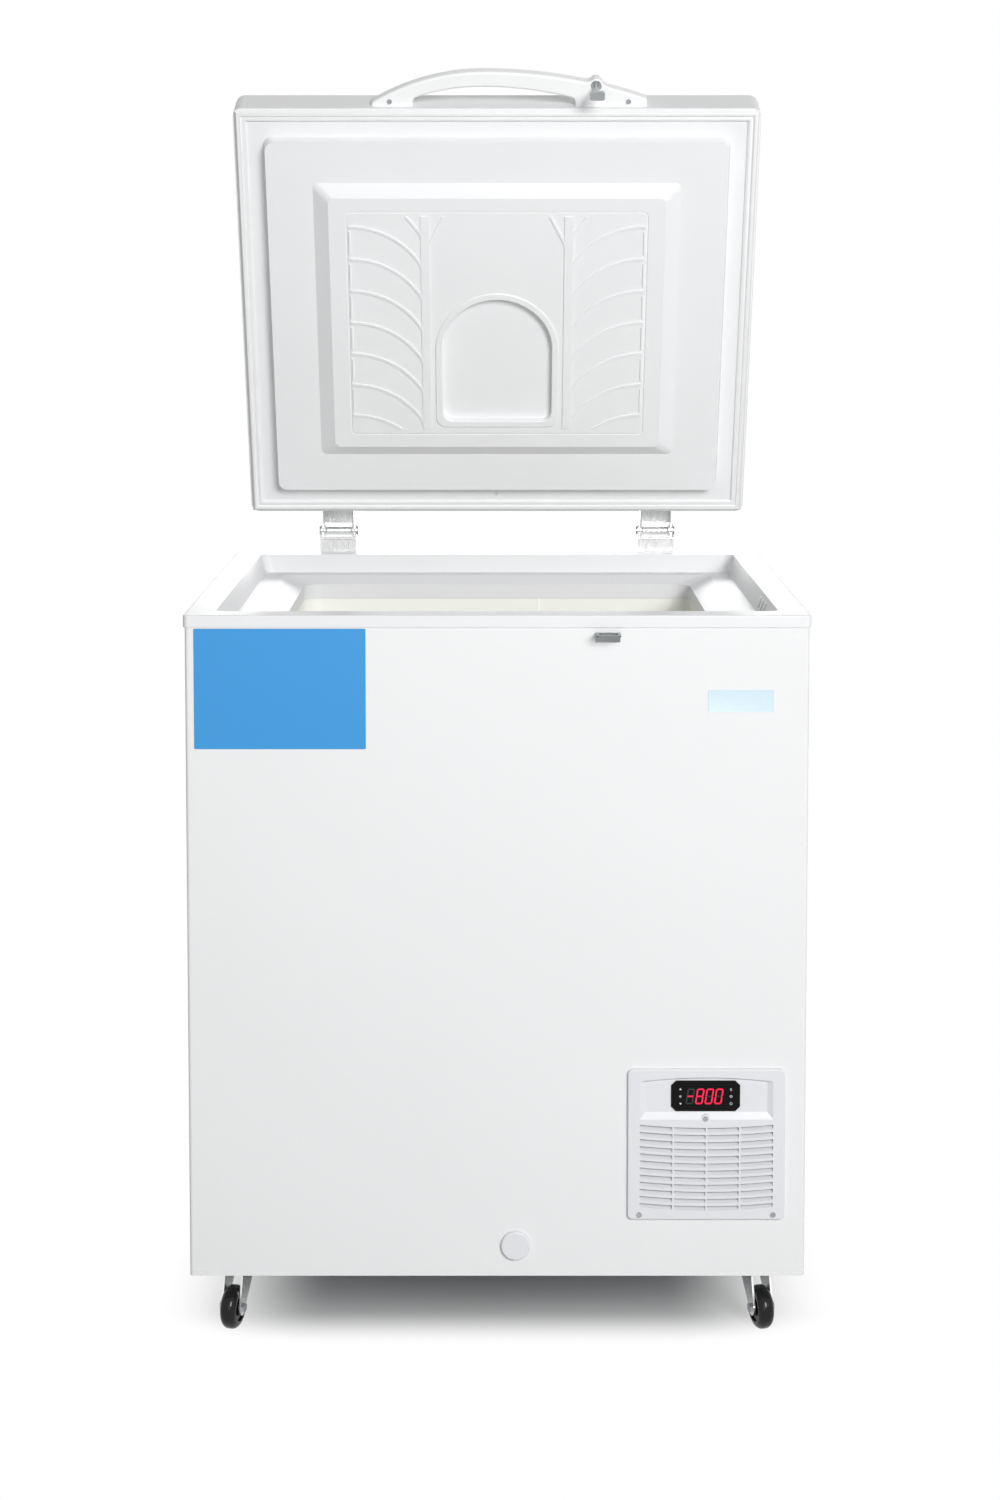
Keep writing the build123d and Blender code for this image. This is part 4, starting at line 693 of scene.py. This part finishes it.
class FREEZER_OT_add_key_marks(bpy.types.Operator):
    """Prints a plain mark on each of the controller's keys"""

    bl_idname = "freezer.add_key_marks"
    bl_label = "Key marks"

    def execute(self, context):
        sizes = context.scene.freezer_display
        ink = film("key_ink", sizes.mark)
        for key, kind in KEY_MARKS.items():
            low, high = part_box(key)
            bm = bmesh.new()
            draw_mark(bm, kind, sizes.mark_size)
            made = bmesh.ops.extrude_face_region(bm, geom=list(bm.faces))["geom"]
            bmesh.ops.translate(bm, vec=(0, 0, SKIN), verts=verts_of(made))
            stand = Matrix.Rotation(math.radians(90), 4, "X")
            place = Matrix.Translation(((low.x + high.x) / 2, low.y, (low.z + high.z) / 2))
            bmesh.ops.transform(bm, matrix=place @ stand, verts=bm.verts)
            finish_piece(f"{key}_mark", bm, key, ink)
        return {"FINISHED"}


# The seal's section, as shares of its width in from the outer edge and of its depth down
SEAL_SHARES = [
    (0.00, 0.00), (0.00, 0.30), (0.05, 0.44), (0.10, 0.62), (0.14, 0.84), (0.20, 0.96), (0.28, 1.00),
    (0.38, 0.98), (0.46, 0.86), (0.50, 0.66), (0.54, 0.52), (0.60, 0.56), (0.68, 0.66), (0.78, 0.68),
    (0.87, 0.58), (0.93, 0.42), (0.98, 0.32), (1.00, 0.22), (1.00, 0.00),
]


class FREEZER_OT_add_seal(bpy.types.Operator):
    """Replaces the lid's plain seal with a two-lobed bellows, mitred at its corners"""

    bl_idname = "freezer.add_seal"
    bl_label = "Lid seal"

    def execute(self, context):
        width = context.scene.freezer_seal.seal_width
        low, high = closed_box("lid_gasket")
        lid_low, _ = closed_box("lid_outer_pan")
        depth = high.z - low.z
        profile = [(across * width, -down * depth) for across, down in SEAL_SHARES]
        bm = bmesh.new()
        mitred_ring(bm, profile, (high.x - low.x) / 2, (high.y - low.y) / 2)
        centre = Vector(((low.x + high.x) / 2, (low.y + high.y) / 2, lid_low.z))
        bmesh.ops.transform(bm, matrix=LID_TURN @ Matrix.Translation(centre), verts=bm.verts)
        piece = finish_piece("lid_seal", bm, "lid", FINISH_OF_SLOT["gasket_rubber"], 40.0)
        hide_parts("lid_gasket")
        return {"FINISHED"}


class FREEZER_OT_add_liner_seam(bpy.types.Operator):
    """Adds the upright seam in the back of the well's liner"""

    bl_idname = "freezer.add_liner_seam"
    bl_label = "Liner seam"

    def execute(self, context):
        sizes = context.scene.freezer_seal
        low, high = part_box("inner_liner")
        back = high.y - LINER_WALL
        bm = bmesh.new()
        plate(bm, Vector((sizes.seam_x, back - sizes.seam_depth, low.z + LINER_WALL)),
              Vector((sizes.seam_x + sizes.seam_width, back + SKIN, high.z)), 0.0, sizes.seam_depth / 2)
        finish_piece("liner_seam", bm, "root", FINISH_OF_SLOT["liner_sheet"])
        return {"FINISHED"}


# Each step of the vent plug's dome: its width against the last one, and its rise in radii
VENT_STEPS = [(1.0, 0.4), (0.7, 0.3)]


class FREEZER_OT_add_vent_plug(bpy.types.Operator):
    """Adds the small domed plug that closes the lid's vent, in the flange near the hinges"""

    bl_idname = "freezer.add_vent_plug"
    bl_label = "Vent plug"

    def execute(self, context):
        sizes = context.scene.freezer_seal
        low, high = closed_box("lid_outer_pan")
        bm = bmesh.new()
        bmesh.ops.create_circle(bm, cap_ends=True, radius=sizes.vent_radius, segments=20)
        face = bm.faces[:][0]
        for share, sink in VENT_STEPS:
            face = bmesh.ops.extrude_discrete_faces(bm, faces=[face])["faces"][0]
            bmesh.ops.translate(bm, vec=(0, 0, -sizes.vent_radius * sink), verts=face.verts)
            bmesh.ops.scale(bm, vec=(share, share, 1), verts=face.verts)
        place = Vector(((low.x + high.x) / 2, high.y - sizes.vent_inset, low.z + SKIN))
        bmesh.ops.transform(bm, matrix=LID_TURN @ Matrix.Translation(place), verts=bm.verts)
        finish_piece("vent_plug", bm, "lid", FINISH_OF_SLOT["drain_hose"])
        return {"FINISHED"}


# The share of its pitch that a rib fills, and of its height above the wall that is rounded
RIB_SHARE = 0.62
RIB_ROUND = 0.7


class FREEZER_OT_add_pocket_ribs(bpy.types.Operator):
    """Adds the ribbed grip that is moulded into the rim's right inner wall, near the front"""

    bl_idname = "freezer.add_pocket_ribs"
    bl_label = "Rim ribs"

    def execute(self, context):
        sizes = context.scene.freezer_seal
        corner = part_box("rim_collar")[1]
        wall_top = Vector((corner.x - RIM_WALL_TOP, 0, corner.z))
        wall_foot = Vector((corner.x - RIM_WALL_FOOT, 0, corner.z - RIM_WALL_DROP))
        lean = math.atan2(wall_top.x - wall_foot.x, wall_top.z - wall_foot.z)
        middle = (wall_top + wall_foot) / 2
        pitch = sizes.pocket_length / sizes.rib_count
        bm = bmesh.new()
        for index in range(sizes.rib_count):
            rib = bmesh.new()
            made = bmesh.ops.create_cube(rib, size=1.0)["verts"]
            size = (2 * sizes.pocket_proud, pitch * RIB_SHARE, sizes.rib_height)
            bmesh.ops.scale(rib, vec=size, verts=made)
            bevel(rib, rib.edges[:], sizes.pocket_proud * RIB_ROUND, 3)
            along = sizes.pocket_front + pitch * (index + 0.5)
            place = Matrix.Translation((middle.x, along, middle.z)) @ Matrix.Rotation(lean, 4, "Y")
            bmesh.ops.transform(rib, matrix=place, verts=rib.verts)
            mesh = bpy.data.meshes.new("rib")
            rib.to_mesh(mesh)
            rib.free()
            bm.from_mesh(mesh)
            bpy.data.meshes.remove(mesh)
        finish_piece("rim_pocket_ribs", bm, "root", FINISH_OF_SLOT["rim_moulding"])
        return {"FINISHED"}


# Stage

# Each lamp's name, place, width and the setting that holds its power
LAMPS = [
    ("key_lamp", (1.7, -4.3, 2.5), 1.8, "key_power"),
    ("fill_lamp", (-0.4, -3.6, 1.0), 1.8, "fill_power"),
    ("top_lamp", (0.0, -0.3, 3.4), 2.2, "top_power"),
    ("back_lamp", (0.0, 4.2, 1.2), 1.8, "back_power"),
]
LAMP_AIM = Vector((0.0, 0.0, 0.75))


class FREEZER_OT_add_stage(bpy.types.Operator):
    """Adds the floor, the lamps, the soft light and the camera"""

    bl_idname = "freezer.add_stage"
    bl_label = "Stage and camera"

    def execute(self, context):
        sizes = context.scene.freezer_stage
        add_floor(sizes)
        add_air(context, sizes)
        for name, place, width, setting in LAMPS:
            add_lamp(name, place, width, getattr(sizes, setting))
        add_camera(context, sizes)
        context.scene.view_settings.view_transform = "Standard"
        return {"FINISHED"}


def seen_rays(place):
    """1 for rays that the viewer sees straight, in gloss or through glass."""
    rays = place.add("LightPath")
    seen = rays["Is Camera Ray"] + rays["Is Glossy Ray"] + rays["Is Transmission Ray"]
    return seen.maths("MINIMUM", seen, 1.0)


def add_floor(sizes):
    """A round floor that keeps the shadow, painted grey under and round the cabinet as shade, and fades to white
    farther out.
    """
    bm = bmesh.new()
    bmesh.ops.create_circle(bm, cap_ends=True, radius=sizes.floor_radius, segments=96)
    mesh = bpy.data.meshes.new("floor")
    bm.to_mesh(mesh)
    bm.free()
    floor = bpy.data.objects.new("floor", mesh)
    bpy.context.scene.collection.objects.link(floor)
    material, place = start_finish("pale_floor")
    mirrored = place.add("VectorMath", {"operation": "ABSOLUTE"}, {"Vector": place})["Vector"]
    past = place.add("VectorMath", {"operation": "SUBTRACT"},
                     {"Vector": mirrored, "Vector_001": (*sizes.shadow_reach, 0.0)})["Vector"]
    outside = place.add("VectorMath", {"operation": "MAXIMUM"},
                        {"Vector": past, "Vector_001": (0.0, 0.0, 0.0)})["Vector"]
    shares = place.add("VectorMath", {"operation": "DIVIDE"},
                       {"Vector": outside, "Vector_001": (*sizes.shadow_fade, 1.0)})["Vector"]
    distance = place.add("VectorMath", {"operation": "LENGTH"}, {"Vector": shares})["Value"]
    far = distance.add("MapRange", {"interpolation_type": "SMOOTHSTEP"}, {"Value": distance})["Result"]
    # Grey diffuse floor: painted shade that deepens the cabinet's shadow; farther out the camera sees plain white
    lit = place.add("BsdfDiffuse", None, {"Color": full(sizes.floor_painted_shade)})["BSDF"]
    white = place.add("Emission", None, {"Color": (1, 1, 1, 1), "Strength": 1.0})["Emission"]
    inputs = {"Fac": far * seen_rays(place), "Shader": lit, "Shader_001": white}
    faded = place.add("MixShader", None, inputs)["Shader"]
    place.add("OutputMaterial", None, {"Surface": faded})
    mesh.materials.append(material)


def add_air(context, sizes):
    """Soft light from all round, which is seen as plain white."""
    world = bpy.data.worlds.new("studio")
    context.scene.world = world
    world.use_nodes = True
    tree = world.node_tree
    tree.nodes.clear()
    start = Wire(tree)
    light, white = (start.add("Background", None, {"Color": (1, 1, 1, 1), "Strength": strength})["Background"]
                    for strength in (sizes.air_strength, 1.0))
    inputs = {"Fac": seen_rays(start), "Shader": light, "Shader_001": white}
    mixed = start.add("MixShader", None, inputs)["Shader"]
    start.add("OutputWorld", None, {"Surface": mixed})


def add_lamp(name, place, width, watts):
    """A square soft lamp that faces the cabinet."""
    data = bpy.data.lights.new(name, "AREA")
    data.size = width
    data.energy = watts
    lamp = bpy.data.objects.new(name, data)
    lamp.location = place
    aim = LAMP_AIM - Vector(place)
    lamp.rotation_euler = aim.to_track_quat("-Z", "Y").to_euler()
    bpy.context.scene.collection.objects.link(lamp)


def add_camera(context, sizes):
    """The camera, at the photograph's viewing angle."""
    data = bpy.data.cameras.new("camera")
    data.sensor_width = 36.0
    data.lens = sizes.camera_lens
    data.shift_x, data.shift_y = sizes.camera_shift
    camera = bpy.data.objects.new("camera", data)
    camera.location = sizes.camera_place
    camera.rotation_euler = (math.radians(90) - sizes.camera_pitch, 0.0, 0.0)
    context.scene.collection.objects.link(camera)
    context.scene.camera = camera


# Add-on

STEPS = ["add_stage", "finish_nodes", "add_labels", "add_display", "add_key_marks", "add_seal",
         "add_liner_seam", "add_vent_plug", "add_pocket_ribs"]


class FREEZER_PT_looks(bpy.types.Panel):
    """Lists the freezer's steps in the sidebar"""

    bl_idname = "FREEZER_PT_looks"
    bl_label = "Chest freezer"
    bl_space_type = "VIEW_3D"
    bl_region_type = "UI"
    bl_category = "Freezer"

    def draw(self, context):
        for step in STEPS:
            self.layout.operator(f"freezer.{step}")


SETTINGS = {
    "freezer_finish": FinishSettings, "freezer_label": LabelSettings, "freezer_display": DisplaySettings,
    "freezer_seal": SealSettings, "freezer_stage": StageSettings,
}
CLASSES = [*SETTINGS.values(), FREEZER_OT_add_stage, FREEZER_OT_finish_nodes, FREEZER_OT_add_labels,
           FREEZER_OT_add_display, FREEZER_OT_add_key_marks, FREEZER_OT_add_seal,
           FREEZER_OT_add_liner_seam, FREEZER_OT_add_vent_plug, FREEZER_OT_add_pocket_ribs,
           FREEZER_PT_looks]


def register():
    """Registers the classes and their settings."""
    for item in CLASSES:
        bpy.utils.register_class(item)
    for name, group in SETTINGS.items():
        setattr(bpy.types.Scene, name, PointerProperty(type=group))


def unregister():
    """Takes the settings and the classes away again."""
    for name in SETTINGS:
        delattr(bpy.types.Scene, name)
    for item in reversed(CLASSES):
        bpy.utils.unregister_class(item)


def main():
    """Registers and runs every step."""
    register()
    for step in STEPS:
        getattr(bpy.ops.freezer, step)()


if __name__ == "__main__":
    main()
